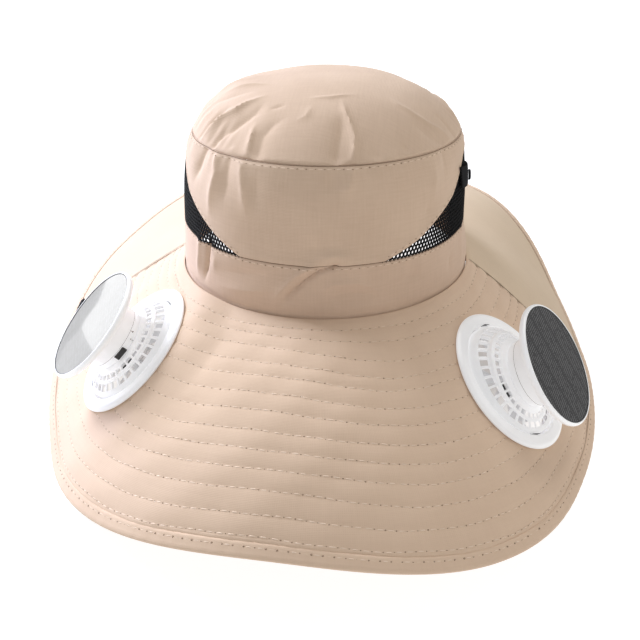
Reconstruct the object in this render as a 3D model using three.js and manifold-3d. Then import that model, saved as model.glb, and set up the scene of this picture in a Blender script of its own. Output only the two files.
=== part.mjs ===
// Solar fan hat: a soft wide brim hat with two solar powered fans clamped into its front brim.
// Millimetres, +Z up, the front of the hat faces -Y and +X is the hat's side on the viewer's right.
// The hat rests by itself on the two sides of its hem, the crown leaning back a little.
import * as THREE from 'three';
import { mergeVertices } from 'three/addons/utils/BufferGeometryUtils.js';
import Module from 'manifold-3d';

const wasm = await Module();
wasm.setup();

// Crown sizes
const seamHalfWidth = 84;
const seamHalfLength = 97;
const crownHeight = 75.4;
const bandHeight = 27.5;
const tipRise = 28.5;
const tipFullness = 2.9;
const wallTaper = 2.6;
const shoulderRound = 6.2;
const shoulderSharpness = 7;
const tipGathers = 14;
const foldDepth = 3.2;
const foldEndShare = 0.09;
const pucker = 0.55;

// Cloth and brim sizes
const crownCloth = 1.6;
const netCloth = 1.1;
const quiltedCloth = 2.8;
const plainCloth = 2.0;
const brimWidth = 125;
const hemWidth = 7.5;
const hemThickness = 3.6;
const hemEdgeShare = 0.55;
const hemPressed = 0.86;
const sideSeamAzimuth = 90;
const pieceGap = 0.35;
const shaftGap = 0.08;
const crownGap = 0.455;
const clampGap = 0.49;

// How the hat stands: seam ring height over the floor before the hem flattens, and its backward lean
const seamHeight = 81.5;
const restLean = 3.5;
const liftSharpness = 4;

// Fan sizes, heights measured along the fan's axis from the mounting plane
const flangeRadius = 40;
const flangeWidth = 7.7;
const flangeThickness = 2.6;
const clothSeat = 1.2;
const seatBlend = 27;
const seatMargin = 3;
const planeSpanShare = 0.7;
const grilleHeight = 8.4;
const grilleTopRadius = 18.4;
const grilleWall = 1.8;
const slotPeriods = 24;
const slotShare = 0.66;
const headHeight = 28.1;
const housingRadius = 17.6;
const housingTopRadius = 20.6;
const frameRadius = 32.6;
const frameRim = 4.8;
const frameLip = 1.4;
const cellThickness = 1.0;
const cellRecess = 0.4;
const edgeRound = 0.5;
const impellerRadius = 25;
const hubRadius = 8.5;
const hubHeight = 6.4;
const hubEnd = 0.7;
const bladeCount = 5;
const bladeThickness = 1.2;
const bladePitch = 32;
const bladeChord = 9;
const bladeRootSink = 2;
const bladeTwist = { root: 1.25, tip: 0.65 };
const bladeSpread = { root: 0.62, tip: 1.12 };
const shaftRadius = 1.5;
const clampRadius = 38.5;
const clampWidth = 6.5;
const clampThickness = 2.2;
const spokeCount = 6;
const spokeWidth = 2.4;
const spokeThickness = 1.6;
const spokeEndSink = 1;
const portWidth = 7.2;
const portHeight = 3.2;
const portDepth = 2.4;
const portRaise = 0.6;
const portMouth = 3;
const throatGap = 0.8;

// Strap and hem tab sizes, places in degrees from the front
const strapWidth = 11.5;
const strapThickness = 1.1;
const strapHeight = 58.5;
const strapFall = 14;
const strapStartAzimuth = 64;
const strapEndAzimuth = 108;
const buckleAzimuth = 80;
const buckleLength = 7;
const buckleWidth = 7;
const buckleThickness = 1.2;
const tabAzimuth = -96.5;
const tabLength = 9;
const tabWidth = 3;
const tabThickness = 1.2;

// Mesh resolution
const crownColumns = 48;
const hemColumns = 60;
const brimColumns = hemColumns / 2;
const roundSides = 26;
const clampSides = 18;
const sideRowSpread = 0.7;
const tipRows = [0, 0.4, 0.7, 0.9, 1];
const hubSides = 12;

// Brim sections. Azimuth in degrees from the front, slopes in degrees below level at the crown
// seam and at the hem, width as a share of brimWidth
const brimSections = [
  { azimuth: -180, seamSlope: 1, hemSlope: 9, width: 0.96 },
  { azimuth: -150, seamSlope: 2, hemSlope: 10, width: 0.972 },
  { azimuth: -120, seamSlope: 18, hemSlope: 26, width: 0.98 },
  { azimuth: -90, seamSlope: 33, hemSlope: 43, width: 0.98 },
  { azimuth: -60, seamSlope: 39, hemSlope: 52, width: 1.005 },
  { azimuth: -30, seamSlope: 26, hemSlope: 51.5, width: 1.027 },
  { azimuth: 0, seamSlope: 12, hemSlope: 51.5, width: 1.0 },
  { azimuth: 30, seamSlope: 26, hemSlope: 45, width: 1.064 },
  { azimuth: 60, seamSlope: 39, hemSlope: 49, width: 1.002 },
  { azimuth: 90, seamSlope: 33.5, hemSlope: 56, width: 0.966 },
  { azimuth: 120, seamSlope: 19, hemSlope: 50, width: 0.95 },
  { azimuth: 150, seamSlope: 1, hemSlope: 16, width: 0.95 },
];

// Upper edge of the side nets: azimuth from the front on each side and height as a share of the
// side panel
const netEdge = [
  { left: 21, right: 28, rise: 0 },
  { left: 34, right: 40, rise: 0.16 },
  { left: 45, right: 50, rise: 0.33 },
  { left: 54, right: 60, rise: 0.47 },
  { left: 60, right: 67, rise: 0.64 },
  { left: 68, right: 75, rise: 0.8 },
  { left: 90, right: 90, rise: 0.88 },
];

// Crown wall folds: azimuth and spread in degrees, the heights it runs between as shares of the
// crown height, and its depth as a share of foldDepth (inward is negative)
const wallFolds = [
  { azimuth: -44, spread: 6, low: 0.0, high: 0.34, depth: -1.0 },
  { azimuth: -31, spread: 7, low: 0.0, high: 0.3, depth: 0.45 },
  { azimuth: -10, spread: 8, low: 0.02, high: 0.2, depth: -0.5 },
  { azimuth: 6, spread: 9, low: 0.12, high: 0.34, depth: -0.4 },
  { azimuth: 38, spread: 8, low: 0.0, high: 0.3, depth: -0.45 },
  { azimuth: 62, spread: 7, low: 0.0, high: 0.32, depth: -0.5 },
  { azimuth: -52, spread: 7, low: 0.5, high: 0.98, depth: -0.8 },
  { azimuth: -38, spread: 7, low: 0.45, high: 0.9, depth: 0.35 },
  { azimuth: 5, spread: 8, low: 0.5, high: 1.0, depth: -0.35 },
  { azimuth: 50, spread: 8, low: 0.5, high: 0.95, depth: -0.7 },
  { azimuth: 112, spread: 10, low: 0.0, high: 0.9, depth: -0.6 },
  { azimuth: 160, spread: 11, low: 0.0, high: 0.8, depth: -0.6 },
  { azimuth: -150, spread: 11, low: 0.1, high: 0.9, depth: -0.6 },
  { azimuth: -112, spread: 9, low: 0.0, high: 0.8, depth: -0.5 },
];

// Creases and swells of the crown tip: azimuth and spread in degrees, inner and outer reach as shares of the
// tip's radius, depth as a share of foldDepth
const tipCreases = [
  { azimuth: 4, spread: 7, inner: 0.2, outer: 1.0, depth: -0.6 },
  { azimuth: -28, spread: 8, inner: 0.25, outer: 0.95, depth: -0.6 },
  { azimuth: -47, spread: 7, inner: 0.5, outer: 1.0, depth: -0.6 },
  { azimuth: 52, spread: 9, inner: 0.2, outer: 0.95, depth: -0.65 },
  { azimuth: 98, spread: 14, inner: 0.4, outer: 1.0, depth: 0.35 },
  { azimuth: 150, spread: 12, inner: 0.3, outer: 1.0, depth: -0.5 },
  { azimuth: -84, spread: 26, inner: 0.35, outer: 1.0, depth: 1.1 },
  { azimuth: -150, spread: 12, inner: 0.3, outer: 1.0, depth: -0.5 },
];

// The two fans: azimuth of the fan on the brim, its distance from the crown seam as a share of
// brimWidth, the outward lean of its solar head, and where the charging port faces
const fanPlaces = [
  { side: 'left', azimuth: -50.5, reach: 0.403, headLean: 3.7, portAngle: 5 },
  { side: 'right', azimuth: 56.5, reach: 0.477, headLean: 12, portAngle: 330 },
];

const colours = {
  cloth: new THREE.MeshStandardMaterial({ color: 0xcdb39a, roughness: 0.9, metalness: 0 }),
  net: new THREE.MeshStandardMaterial({ color: 0x141416, roughness: 0.8, metalness: 0 }),
  plastic: new THREE.MeshStandardMaterial({ color: 0xf2f2f3, roughness: 0.35, metalness: 0 }),
  dark: new THREE.MeshStandardMaterial({ color: 0x101011, roughness: 0.6, metalness: 0 }),
  cell: new THREE.MeshStandardMaterial({ color: 0x3f3f42, roughness: 0.12, metalness: 0.1 }),
};

const radians = THREE.MathUtils.degToRad;
const lerp = THREE.MathUtils.lerp;
const smooth = (x, low, high) => THREE.MathUtils.smoothstep(x, low, high);

// A smooth bump, 1 in the middle and near 0 beyond two spreads
function bump(distance, spread) {
  return Math.exp(-((distance / spread) ** 2));
}

// Smallest signed difference of two azimuths
function turn(a, b) {
  return ((a - b + 540) % 360) - 180;
}

// One column of the brim table at any azimuth, on a smooth closed curve through its rows
function sectionAt(column, azimuth) {
  const step = 360 / brimSections.length;
  const place = (((azimuth + 180) % 360) + 360) % 360 / step;
  const first = Math.floor(place);
  const t = place - first;
  const value = (k) => brimSections[(first + k + brimSections.length) % brimSections.length][column];
  const [a, b, c, d] = [value(-1), value(0), value(1), value(2)];
  return b + 0.5 * t * (c - a + t * (2 * a - 5 * b + 4 * c - d + t * (3 * (b - c) + d - a)));
}

// Height of the side panel's lower edge, which is the net's upper edge, over the band
function netRise(azimuth) {
  const side = turn(azimuth, 0) < 0 ? 'left' : 'right';
  const fromFront = Math.abs(turn(azimuth, 0));
  const place = Math.min(fromFront, 180 - fromFront);
  if (place <= netEdge[0][side]) return 0;
  const next = netEdge.findIndex((row) => row[side] >= place);
  const [a, b] = [netEdge[next - 1], netEdge[next]];
  const share = (place - a[side]) / (b[side] - a[side]);
  return (crownHeight - bandHeight) * lerp(a.rise, b.rise, share);
}

// Point and outward plan direction on an upright ellipse around the head
function ringPoint(azimuth, halfWidth, halfLength) {
  const angle = radians(azimuth);
  const point = new THREE.Vector3(halfWidth * Math.sin(angle), -halfLength * Math.cos(angle), 0);
  const out = new THREE.Vector3(halfLength * Math.sin(angle), -halfWidth * Math.cos(angle), 0).normalize();
  return { point, out };
}

// From the hat's own upright frame to the way it stands
const leanBack = new THREE.Matrix4().makeRotationX(-radians(restLean));
function stand(point) {
  return point.applyMatrix4(leanBack).add(new THREE.Vector3(0, 0, seamHeight));
}

// Outer face of the crown wall, height measured from the brim seam
function wallPoint(azimuth, height) {
  const share = height / crownHeight;
  const inset = wallTaper * share + shoulderRound * share ** shoulderSharpness;
  const { point, out } = ringPoint(azimuth, seamHalfWidth - inset, seamHalfLength - inset);
  let offset = 0;
  for (const fold of wallFolds) {
    const above = smooth(share, fold.low - foldEndShare, fold.low + foldEndShare);
    const below = smooth(share, fold.high - foldEndShare, fold.high + foldEndShare);
    offset += foldDepth * fold.depth * (above - below) * bump(turn(azimuth, fold.azimuth), fold.spread);
  }
  const calm = smooth(share, 0, 0.05) * (1 - smooth(share, 0.95, 1));
  return stand(point.addScaledVector(out, offset * calm).setZ(height));
}

// Outer face of the crown tip, share 0 at its middle and 1 at its seam
function tipPoint(azimuth, share) {
  const inset = wallTaper + shoulderRound;
  const { point } = ringPoint(azimuth, (seamHalfWidth - inset) * share, (seamHalfLength - inset) * share);
  let height = tipRise * (1 - share ** tipFullness);
  for (const crease of tipCreases) {
    const reach = smooth(share, crease.inner, crease.inner + 0.25);
    const end = 1 - smooth(share, crease.outer - 0.08, crease.outer + 0.02);
    height += foldDepth * crease.depth * reach * end * bump(turn(azimuth, crease.azimuth), crease.spread);
  }
  const nearSeam = smooth(share, 0.72, 0.9) * (1 - smooth(share, 0.9, 1));
  height += pucker * Math.sin(radians(azimuth * tipGathers)) * nearSeam;
  return stand(point.setZ(crownHeight + pieceGap + Math.max(height, 0)));
}

// Upper face of the brim before the fans flatten it, reach measured down the cloth from the seam
function freeBrimPoint(azimuth, reach) {
  const width = brimWidth * sectionAt('width', azimuth);
  const seamSlope = radians(sectionAt('seamSlope', azimuth));
  const bend = (radians(sectionAt('hemSlope', azimuth)) - seamSlope) / width;
  const curve = Math.abs(bend) < 1e-6 ? 1e-6 : bend;
  const out = (Math.sin(seamSlope + curve * reach) - Math.sin(seamSlope)) / curve;
  const drop = (Math.cos(seamSlope) - Math.cos(seamSlope + curve * reach)) / curve;
  const ring = ringPoint(azimuth, seamHalfWidth, seamHalfLength);
  return stand(ring.point.addScaledVector(ring.out, out).setZ(-drop));
}

const brimReach = (azimuth) => brimWidth * sectionAt('width', azimuth);

// The hem can't go under the floor: how far the floor lifts it there
function floorLift(azimuth) {
  const hemHeight = freeBrimPoint(azimuth, brimReach(azimuth) - hemWidth / 2).z;
  return Math.max(0, hemThickness * hemPressed - hemHeight);
}

// Each fan's mounting plane, taken from the brim's own slope under it
const fans = fanPlaces.map((place) => {
  const span = planeSpanShare * flangeRadius;
  const reach = place.reach * brimWidth;
  const swing = THREE.MathUtils.radToDeg(span / (seamHalfWidth + reach / 2));
  const middle = freeBrimPoint(place.azimuth, reach);
  const inner = freeBrimPoint(place.azimuth, reach - span);
  const outer = freeBrimPoint(place.azimuth, reach + span);
  const front = freeBrimPoint(place.azimuth - swing, reach);
  const rear = freeBrimPoint(place.azimuth + swing, reach);
  const axis = outer.clone().sub(inner).cross(rear.clone().sub(front)).normalize();
  const centre = middle.clone().multiplyScalar(2).add(inner).add(outer).multiplyScalar(0.25);
  return { ...place, axis, centre };
});

// Upper face of the brim: lifted where it rests, flat and level with the seat of each fan
function brimPoint(azimuth, reach) {
  const point = freeBrimPoint(azimuth, reach);
  point.z += floorLift(azimuth) * Math.max(0, reach / brimReach(azimuth)) ** liftSharpness;
  for (const fan of fans) {
    const toPoint = point.clone().sub(fan.centre);
    const above = toPoint.dot(fan.axis);
    const aside = Math.sqrt(Math.max(0, toPoint.lengthSq() - above * above));
    const hold = 1 - smooth(aside, flangeRadius + seatMargin, flangeRadius + seatBlend);
    if (Math.abs(above) < flangeRadius) point.addScaledVector(fan.axis, -hold * (above + clothSeat));
  }
  return point;
}

// A closed solid from points and triangles: points that coincide are joined, faces turned out
function solid(points, triangles) {
  const positions = new Float32Array(triangles.length * 9);
  triangles.forEach((corners, face) => {
    corners.forEach((corner, k) => points[corner].toArray(positions, face * 9 + k * 3));
  });
  const raw = new THREE.BufferGeometry();
  raw.setAttribute('position', new THREE.BufferAttribute(positions, 3));
  return closed(raw);
}

function closed(raw) {
  const plain = new THREE.BufferGeometry();
  plain.setAttribute('position', raw.getAttribute('position'));
  if (raw.index) plain.setIndex(raw.index);
  const merged = mergeVertices(plain, 1e-3);
  const index = [];
  const place = merged.getAttribute('position');
  const corner = [new THREE.Vector3(), new THREE.Vector3(), new THREE.Vector3()];
  let volume = 0;
  for (let k = 0; k < merged.index.count; k += 3) {
    const [a, b, c] = [0, 1, 2].map((n) => merged.index.getX(k + n));
    if (a === b || b === c || c === a) continue;
    [a, b, c].forEach((n, m) => corner[m].fromBufferAttribute(place, n));
    volume += corner[0].dot(corner[1].clone().cross(corner[2]));
    index.push(a, b, c);
  }
  if (volume < 0) index.reverse();
  merged.setIndex(index);
  return merged;
}

// A sheet of cloth: its outer face from a function of two shares, its inner face one wall behind.
// side is 1 where the wall lies behind the cross product of the two directions, -1 in front
function clothSolid(face, wall, columns, rows, side, ring = false) {
  const points = [];
  const step = 1e-3;
  const behind = (s, t) => {
    const across = face(s + step, t).sub(face(s - step, t));
    const along = face(s, Math.min(t + step, 1)).sub(face(s, Math.max(t - step, 0)));
    return across.cross(along).normalize().multiplyScalar(-side * wall);
  };
  for (let j = 0; j <= rows; j += 1) {
    for (let i = 0; i <= columns; i += 1) {
      const outer = face(i / columns, j / rows);
      points.push(outer, outer.clone().add(behind(i / columns, j / rows)));
    }
  }
  return solid(points, sheetFaces(columns, rows, ring));
}

// Triangles of a two sided sheet whose points alternate outer and inner
function sheetFaces(columns, rows, ring) {
  const outer = (i, j) => 2 * (j * (columns + 1) + i);
  const inner = (i, j) => outer(i, j) + 1;
  const faces = [];
  const quad = (a, b, c, d) => faces.push([a, b, c], [a, c, d]);
  for (let j = 0; j < rows; j += 1) {
    for (let i = 0; i < columns; i += 1) {
      quad(outer(i, j), outer(i + 1, j), outer(i + 1, j + 1), outer(i, j + 1));
      quad(inner(i, j), inner(i, j + 1), inner(i + 1, j + 1), inner(i + 1, j));
    }
  }
  for (let i = 0; i < columns; i += 1) {
    quad(outer(i, 0), inner(i, 0), inner(i + 1, 0), outer(i + 1, 0));
    quad(outer(i, rows), outer(i + 1, rows), inner(i + 1, rows), inner(i, rows));
  }
  for (let j = 0; j < rows && !ring; j += 1) {
    quad(outer(0, j), outer(0, j + 1), inner(0, j + 1), inner(0, j));
    quad(outer(columns, j), inner(columns, j), inner(columns, j + 1), outer(columns, j + 1));
  }
  return faces;
}

// Booleans on closed meshes
function toManifold(geometry) {
  const vertProperties = new Float32Array(geometry.getAttribute('position').array);
  const triVerts = new Uint32Array(geometry.index.array);
  return new wasm.Manifold(new wasm.Mesh({ numProp: 3, vertProperties, triVerts }));
}

function fromManifold(manifold) {
  const mesh = manifold.getMesh();
  const geometry = new THREE.BufferGeometry();
  geometry.setAttribute('position', new THREE.BufferAttribute(new Float32Array(mesh.vertProperties), 3));
  geometry.setIndex(new THREE.BufferAttribute(new Uint32Array(mesh.triVerts), 1));
  return geometry;
}

function named(name, geometry, material) {
  const mesh = new THREE.Mesh(geometry, material);
  mesh.name = name;
  return mesh;
}

// A turned part about Z from a profile of radius and height that closes on itself or on the axis
function turned(profile, sides = roundSides) {
  const lathe = new THREE.LatheGeometry(profile.map(([r, z]) => new THREE.Vector2(r, z)), sides);
  return closed(lathe.rotateX(Math.PI / 2));
}

// Crown
const fullTurn = (share) => share * 360 - 180;

function crownTip() {
  const face = (s, t) => tipPoint(fullTurn(s), t);
  const rows = tipRows.length - 1;
  const points = [];
  const seat = stand(new THREE.Vector3(0, 0, crownHeight + pieceGap));
  const up = new THREE.Vector3(0, 0, 1).transformDirection(leanBack);
  const centre = stand(new THREE.Vector3());
  for (let j = 0; j <= rows; j += 1) {
    for (let i = 0; i <= crownColumns; i += 1) {
      const outer = face(i / crownColumns, tipRows[j]);
      const height = outer.clone().sub(seat).dot(up);
      const toAxis = outer.clone().sub(centre);
      toAxis.addScaledVector(up, -toAxis.dot(up)).normalize();
      const sink = Math.min(height, crownCloth);
      const sunk = outer.clone().addScaledVector(up, -sink);
      const inner = sunk.addScaledVector(toAxis, -crownCloth * tipRows[j]);
      points.push(outer, inner);
    }
  }
  return solid(points, sheetFaces(crownColumns, rows, true));
}

function crownSide() {
  const top = crownHeight - pieceGap / 2;
  const face = (s, t) => {
    const azimuth = fullTurn(s);
    const low = bandHeight + netRise(azimuth) + pieceGap / 2;
    return wallPoint(azimuth, lerp(low, top, t ** sideRowSpread));
  };
  return clothSolid(face, crownCloth, crownColumns, 3, 1, true);
}

function crownBand() {
  const face = (s, t) => wallPoint(fullTurn(s), lerp(0, bandHeight - pieceGap / 2, t));
  return clothSolid(face, crownCloth, crownColumns, 2, 1, true);
}

function sideNet(side, sign) {
  const step = 360 / crownColumns;
  const start = Math.ceil((netEdge[0][side] + 1) / step) * step;
  const columns = Math.round((180 - 2 * start) / step);
  const face = (s, t) => {
    const azimuth = sign * lerp(start, 180 - start, sign > 0 ? s : 1 - s);
    const low = bandHeight + pieceGap / 2;
    const high = bandHeight + netRise(azimuth) - pieceGap / 2;
    return wallPoint(azimuth, lerp(low, high, t));
  };
  return clothSolid(face, netCloth, columns, 2, 1);
}

// Brim
const panelEnd = (azimuth) => brimReach(azimuth) - hemWidth - pieceGap;
const seamSide = THREE.MathUtils.radToDeg(pieceGap / 2 / (seamHalfWidth + brimWidth / 2));

function brimPanel(from, to, wall, rows) {
  const face = (s, t) => {
    const azimuth = lerp(from, to, s);
    return brimPoint(azimuth, lerp(crownGap, panelEnd(azimuth), t));
  };
  return clothSolid(face, wall, brimColumns, rows, -1);
}

function brimFront() {
  const from = -sideSeamAzimuth + 2 * seamSide;
  const panel = toManifold(brimPanel(from, -from, quiltedCloth, 7));
  const holes = fans.map((fan) => {
    const cutter = new THREE.CylinderGeometry(throatRadius, throatRadius, flangeRadius, roundSides);
    cutter.rotateX(Math.PI / 2).applyMatrix4(fanFrame(fan));
    return toManifold(closed(cutter));
  });
  return fromManifold(panel.subtract(holes[0]).subtract(holes[1]));
}

function brimBack() {
  const from = sideSeamAzimuth + 2 * seamSide;
  return brimPanel(from, 360 - from, plainCloth, 5);
}

// The hem: a folded tape round the brim's edge, flat below where it rests
function brimHem() {
  const half = hemThickness / 2;
  const middle = -quiltedCloth / 2;
  const edge = half * hemEdgeShare;
  const section = [
    [-hemWidth, edge],
    [-hemWidth / 2, half],
    [0, edge],
    [0, -edge],
    [-hemWidth / 2, -half],
    [-hemWidth, -edge],
  ];
  const points = [];
  for (let j = 0; j < section.length; j += 1) {
    for (let i = 0; i <= hemColumns; i += 1) {
      const azimuth = fullTurn(i / hemColumns);
      const reach = brimReach(azimuth);
      const at = brimPoint(azimuth, reach + section[j][0]);
      const down = brimPoint(azimuth, reach).sub(brimPoint(azimuth, reach - hemWidth));
      const along = brimPoint(azimuth + 1, reach).sub(brimPoint(azimuth - 1, reach));
      const up = down.cross(along).normalize();
      at.addScaledVector(up, middle + section[j][1]);
      at.z = Math.max(at.z, 0);
      points.push(at);
    }
  }
  const at = (i, j) => (j % section.length) * (hemColumns + 1) + i;
  const faces = [];
  for (let j = 0; j < section.length; j += 1) {
    for (let i = 0; i < hemColumns; i += 1) {
      faces.push([at(i, j), at(i + 1, j), at(i + 1, j + 1)], [at(i, j), at(i + 1, j + 1), at(i, j + 1)]);
    }
  }
  return solid(points, faces);
}

// Strap and small trims
function strapPatch(fromAzimuth, toAzimuth, width, lift, thickness, columns) {
  const face = (s, t) => {
    const azimuth = lerp(fromAzimuth, toAzimuth, s);
    const share = (azimuth - strapStartAzimuth) / (strapEndAzimuth - strapStartAzimuth);
    const middle = strapHeight - strapFall * share;
    const { out } = ringPoint(azimuth, seamHalfWidth, seamHalfLength);
    const height = middle + lerp(-width, width, t) / 2;
    return wallPoint(azimuth, height).addScaledVector(out, lift + thickness);
  };
  return clothSolid(face, thickness, columns, 2, 1);
}

const degreesPerLength = 360 / (2 * Math.PI * seamHalfLength);

function strap() {
  return strapPatch(strapStartAzimuth, strapEndAzimuth, strapWidth, 2 * pieceGap, strapThickness, 8);
}

function buckle() {
  const span = buckleLength * degreesPerLength;
  const lift = 3 * pieceGap + strapThickness;
  const from = buckleAzimuth - span / 2;
  return strapPatch(from, from + span, buckleWidth, lift, buckleThickness, 2);
}

function hemTab() {
  const span = tabLength * degreesPerLength / 4;
  const face = (s, t) => {
    const at = tabAzimuth + lerp(-span, span, s);
    const reach = panelEnd(at) - 2 * pieceGap - lerp(tabWidth, 0, t);
    const up = new THREE.Vector3(0, 0, 1);
    return brimPoint(at, reach).addScaledVector(up, 2 * pieceGap + tabThickness);
  };
  return clothSolid(face, tabThickness, 4, 1, -1);
}

// Fans
const throatRadius = flangeRadius - flangeWidth + throatGap;
const grilleBaseRadius = (flangeRadius - flangeWidth) * Math.cos(Math.PI / roundSides) - pieceGap;
const clothTop = -clothSeat;
const clothBottom = clothTop - quiltedCloth;
const clampTop = clothBottom - clampGap;

// Local frame of a fan: Z along its axis, X level along the brim, Y up the slope
function fanFrame(fan) {
  const x = new THREE.Vector3(0, 0, 1).cross(fan.axis).normalize();
  const y = fan.axis.clone().cross(x);
  return new THREE.Matrix4().makeBasis(x, y, fan.axis).setPosition(fan.centre);
}

function flange() {
  const inner = flangeRadius - flangeWidth;
  const low = clothTop + pieceGap;
  const high = low + flangeThickness;
  return turned([
    [inner, low],
    [flangeRadius, low],
    [flangeRadius, low + flangeThickness * 0.35],
    [flangeRadius - flangeThickness / 2, high],
    [inner + edgeRound, high],
    [inner, high - edgeRound],
    [inner, low],
  ]);
}

// The grille: a cone with two tiers of slots, its upper rings turned towards the leaning head
function grille(lean) {
  const low = clothTop + pieceGap;
  const rise = grilleHeight - low;
  const profile = [
    { r: grilleBaseRadius, z: low },
    { r: lerp(grilleBaseRadius, grilleTopRadius, 0.1), z: low + rise * 0.26 },
    { r: lerp(grilleBaseRadius, grilleTopRadius, 0.46), z: low + rise * 0.58 },
    { r: lerp(grilleBaseRadius, grilleTopRadius, 0.56), z: low + rise * 0.66 },
    { r: lerp(grilleBaseRadius, grilleTopRadius, 0.86), z: low + rise * 0.86 },
    { r: grilleTopRadius, z: grilleHeight },
  ];
  const openBands = [1, 3];
  const columns = 2 * slotPeriods;
  const points = [];
  profile.forEach((ring, j) => {
    const before = profile[Math.max(j - 1, 0)];
    const after = profile[Math.min(j + 1, profile.length - 1)];
    const slope = new THREE.Vector2(after.r - before.r, after.z - before.z).normalize();
    const seat = j === profile.length - 1;
    const inR = ring.r - (seat ? grilleWall : grilleWall * slope.y);
    const inZ = seat ? ring.z : Math.max(ring.z + grilleWall * slope.x, low);
    for (let i = 0; i < columns; i += 1) {
      const share = Math.floor(i / 2) + (i % 2) * (1 - slotShare);
      const angle = (share / slotPeriods) * 2 * Math.PI;
      points.push(bent(ring.r, angle, ring.z, lean), bent(inR, angle, inZ, lean));
    }
  });
  const outer = (i, j) => 2 * (j * columns + (i % columns));
  const inner = (i, j) => outer(i, j) + 1;
  const faces = [];
  const quad = (a, b, c, d) => faces.push([a, b, c], [a, c, d]);
  const open = (i, j) => (i + columns) % 2 === 1 && openBands.includes(j);
  for (let j = 0; j < profile.length - 1; j += 1) {
    for (let i = 0; i < columns; i += 1) {
      if (open(i, j)) {
        quad(outer(i, j), inner(i, j), inner(i, j + 1), outer(i, j + 1));
        quad(outer(i + 1, j), outer(i + 1, j + 1), inner(i + 1, j + 1), inner(i + 1, j));
        quad(outer(i, j), outer(i + 1, j), inner(i + 1, j), inner(i, j));
        quad(outer(i, j + 1), inner(i, j + 1), inner(i + 1, j + 1), outer(i + 1, j + 1));
      } else {
        quad(outer(i, j), outer(i + 1, j), outer(i + 1, j + 1), outer(i, j + 1));
        quad(inner(i, j), inner(i, j + 1), inner(i + 1, j + 1), inner(i + 1, j));
      }
    }
  }
  const last = profile.length - 1;
  for (let i = 0; i < columns; i += 1) {
    quad(outer(i, 0), inner(i, 0), inner(i + 1, 0), outer(i + 1, 0));
    quad(outer(i, last), outer(i + 1, last), inner(i + 1, last), inner(i, last));
  }
  return solid(points, faces);
}

// A point of a ring about the fan's axis that tilts with its height up to the head's lean
function bent(radius, angle, height, lean) {
  const tilt = radians(lean) * smooth(height, 0, grilleHeight);
  const y = radius * Math.sin(angle);
  const along = y * Math.cos(tilt) - height * Math.sin(tilt);
  return new THREE.Vector3(radius * Math.cos(angle), along, height * Math.cos(tilt) + y * Math.sin(tilt));
}

// The head's parts have their origin in the middle of the grille's top
const headRise = headHeight - grilleHeight;
const frameBottom = headRise - frameRim;

// A box sunk into the housing's wall, its outer end this far outside the wall
function portBox(angle, grow, proud) {
  const deep = portDepth + grow + proud;
  const box = new THREE.BoxGeometry(deep, portWidth + 2 * grow, portHeight + 2 * grow);
  box.translate(housingRadius + proud - deep / 2, 0, portRaise + portHeight / 2);
  return closed(box.rotateZ(radians(angle)));
}

function housing(angle) {
  const body = toManifold(turned([
    [0, pieceGap],
    [housingRadius - edgeRound, pieceGap],
    [housingRadius, pieceGap + edgeRound],
    [housingTopRadius, frameBottom - 2 * edgeRound],
    [housingTopRadius, frameBottom - pieceGap],
    [0, frameBottom - pieceGap],
  ]));
  return fromManifold(body.subtract(toManifold(portBox(angle, pieceGap, portMouth))));
}

function port(angle) {
  return portBox(angle, 0, 0);
}

function solarFrame() {
  const floor = headRise - cellRecess - cellThickness - pieceGap;
  const lip = frameRadius - frameLip;
  return turned([
    [0, frameBottom],
    [housingTopRadius + edgeRound, frameBottom],
    [frameRadius - 3 * edgeRound, frameBottom + 2 * edgeRound],
    [frameRadius, frameBottom + 4 * edgeRound],
    [frameRadius, headRise - 2 * edgeRound],
    [frameRadius - 2 * edgeRound, headRise],
    [lip, headRise],
    [lip, floor],
    [0, floor],
  ]);
}

function solarCell() {
  const low = headRise - cellRecess - cellThickness;
  const radius = frameRadius - frameLip - pieceGap;
  return turned([[0, low], [radius, low], [radius, low + cellThickness], [0, low + cellThickness]]);
}

// The guard under the cloth: clamp ring, spokes and the hub that carries the impeller's shaft
function clamp() {
  const low = clampTop - clampThickness;
  const inner = clampRadius - clampWidth;
  const bore = shaftRadius + shaftGap;
  const ring = [[inner, low], [clampRadius, low], [clampRadius, clampTop], [inner, clampTop], [inner, low]];
  let body = toManifold(turned(ring, clampSides));
  const hub = turned([
    [0, low],
    [hubRadius, low],
    [hubRadius, clampTop],
    [bore, clampTop],
    [bore, low + hubEnd],
    [0, low + hubEnd],
  ], hubSides);
  for (let k = 0; k < spokeCount / 2; k += 1) {
    const spoke = new THREE.BoxGeometry(2 * inner + spokeWidth / 2, spokeWidth, spokeThickness);
    spoke.translate(0, 0, low + spokeThickness / 2).rotateZ((k * 2 * Math.PI) / spokeCount);
    body = body.add(toManifold(closed(spoke)));
  }
  const middle = hubRadius - spokeEndSink;
  const clear = new THREE.CylinderGeometry(middle, middle, 2 * hubRadius, hubSides).rotateX(Math.PI / 2);
  return fromManifold(body.subtract(toManifold(closed(clear))).add(toManifold(hub)));
}

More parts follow.
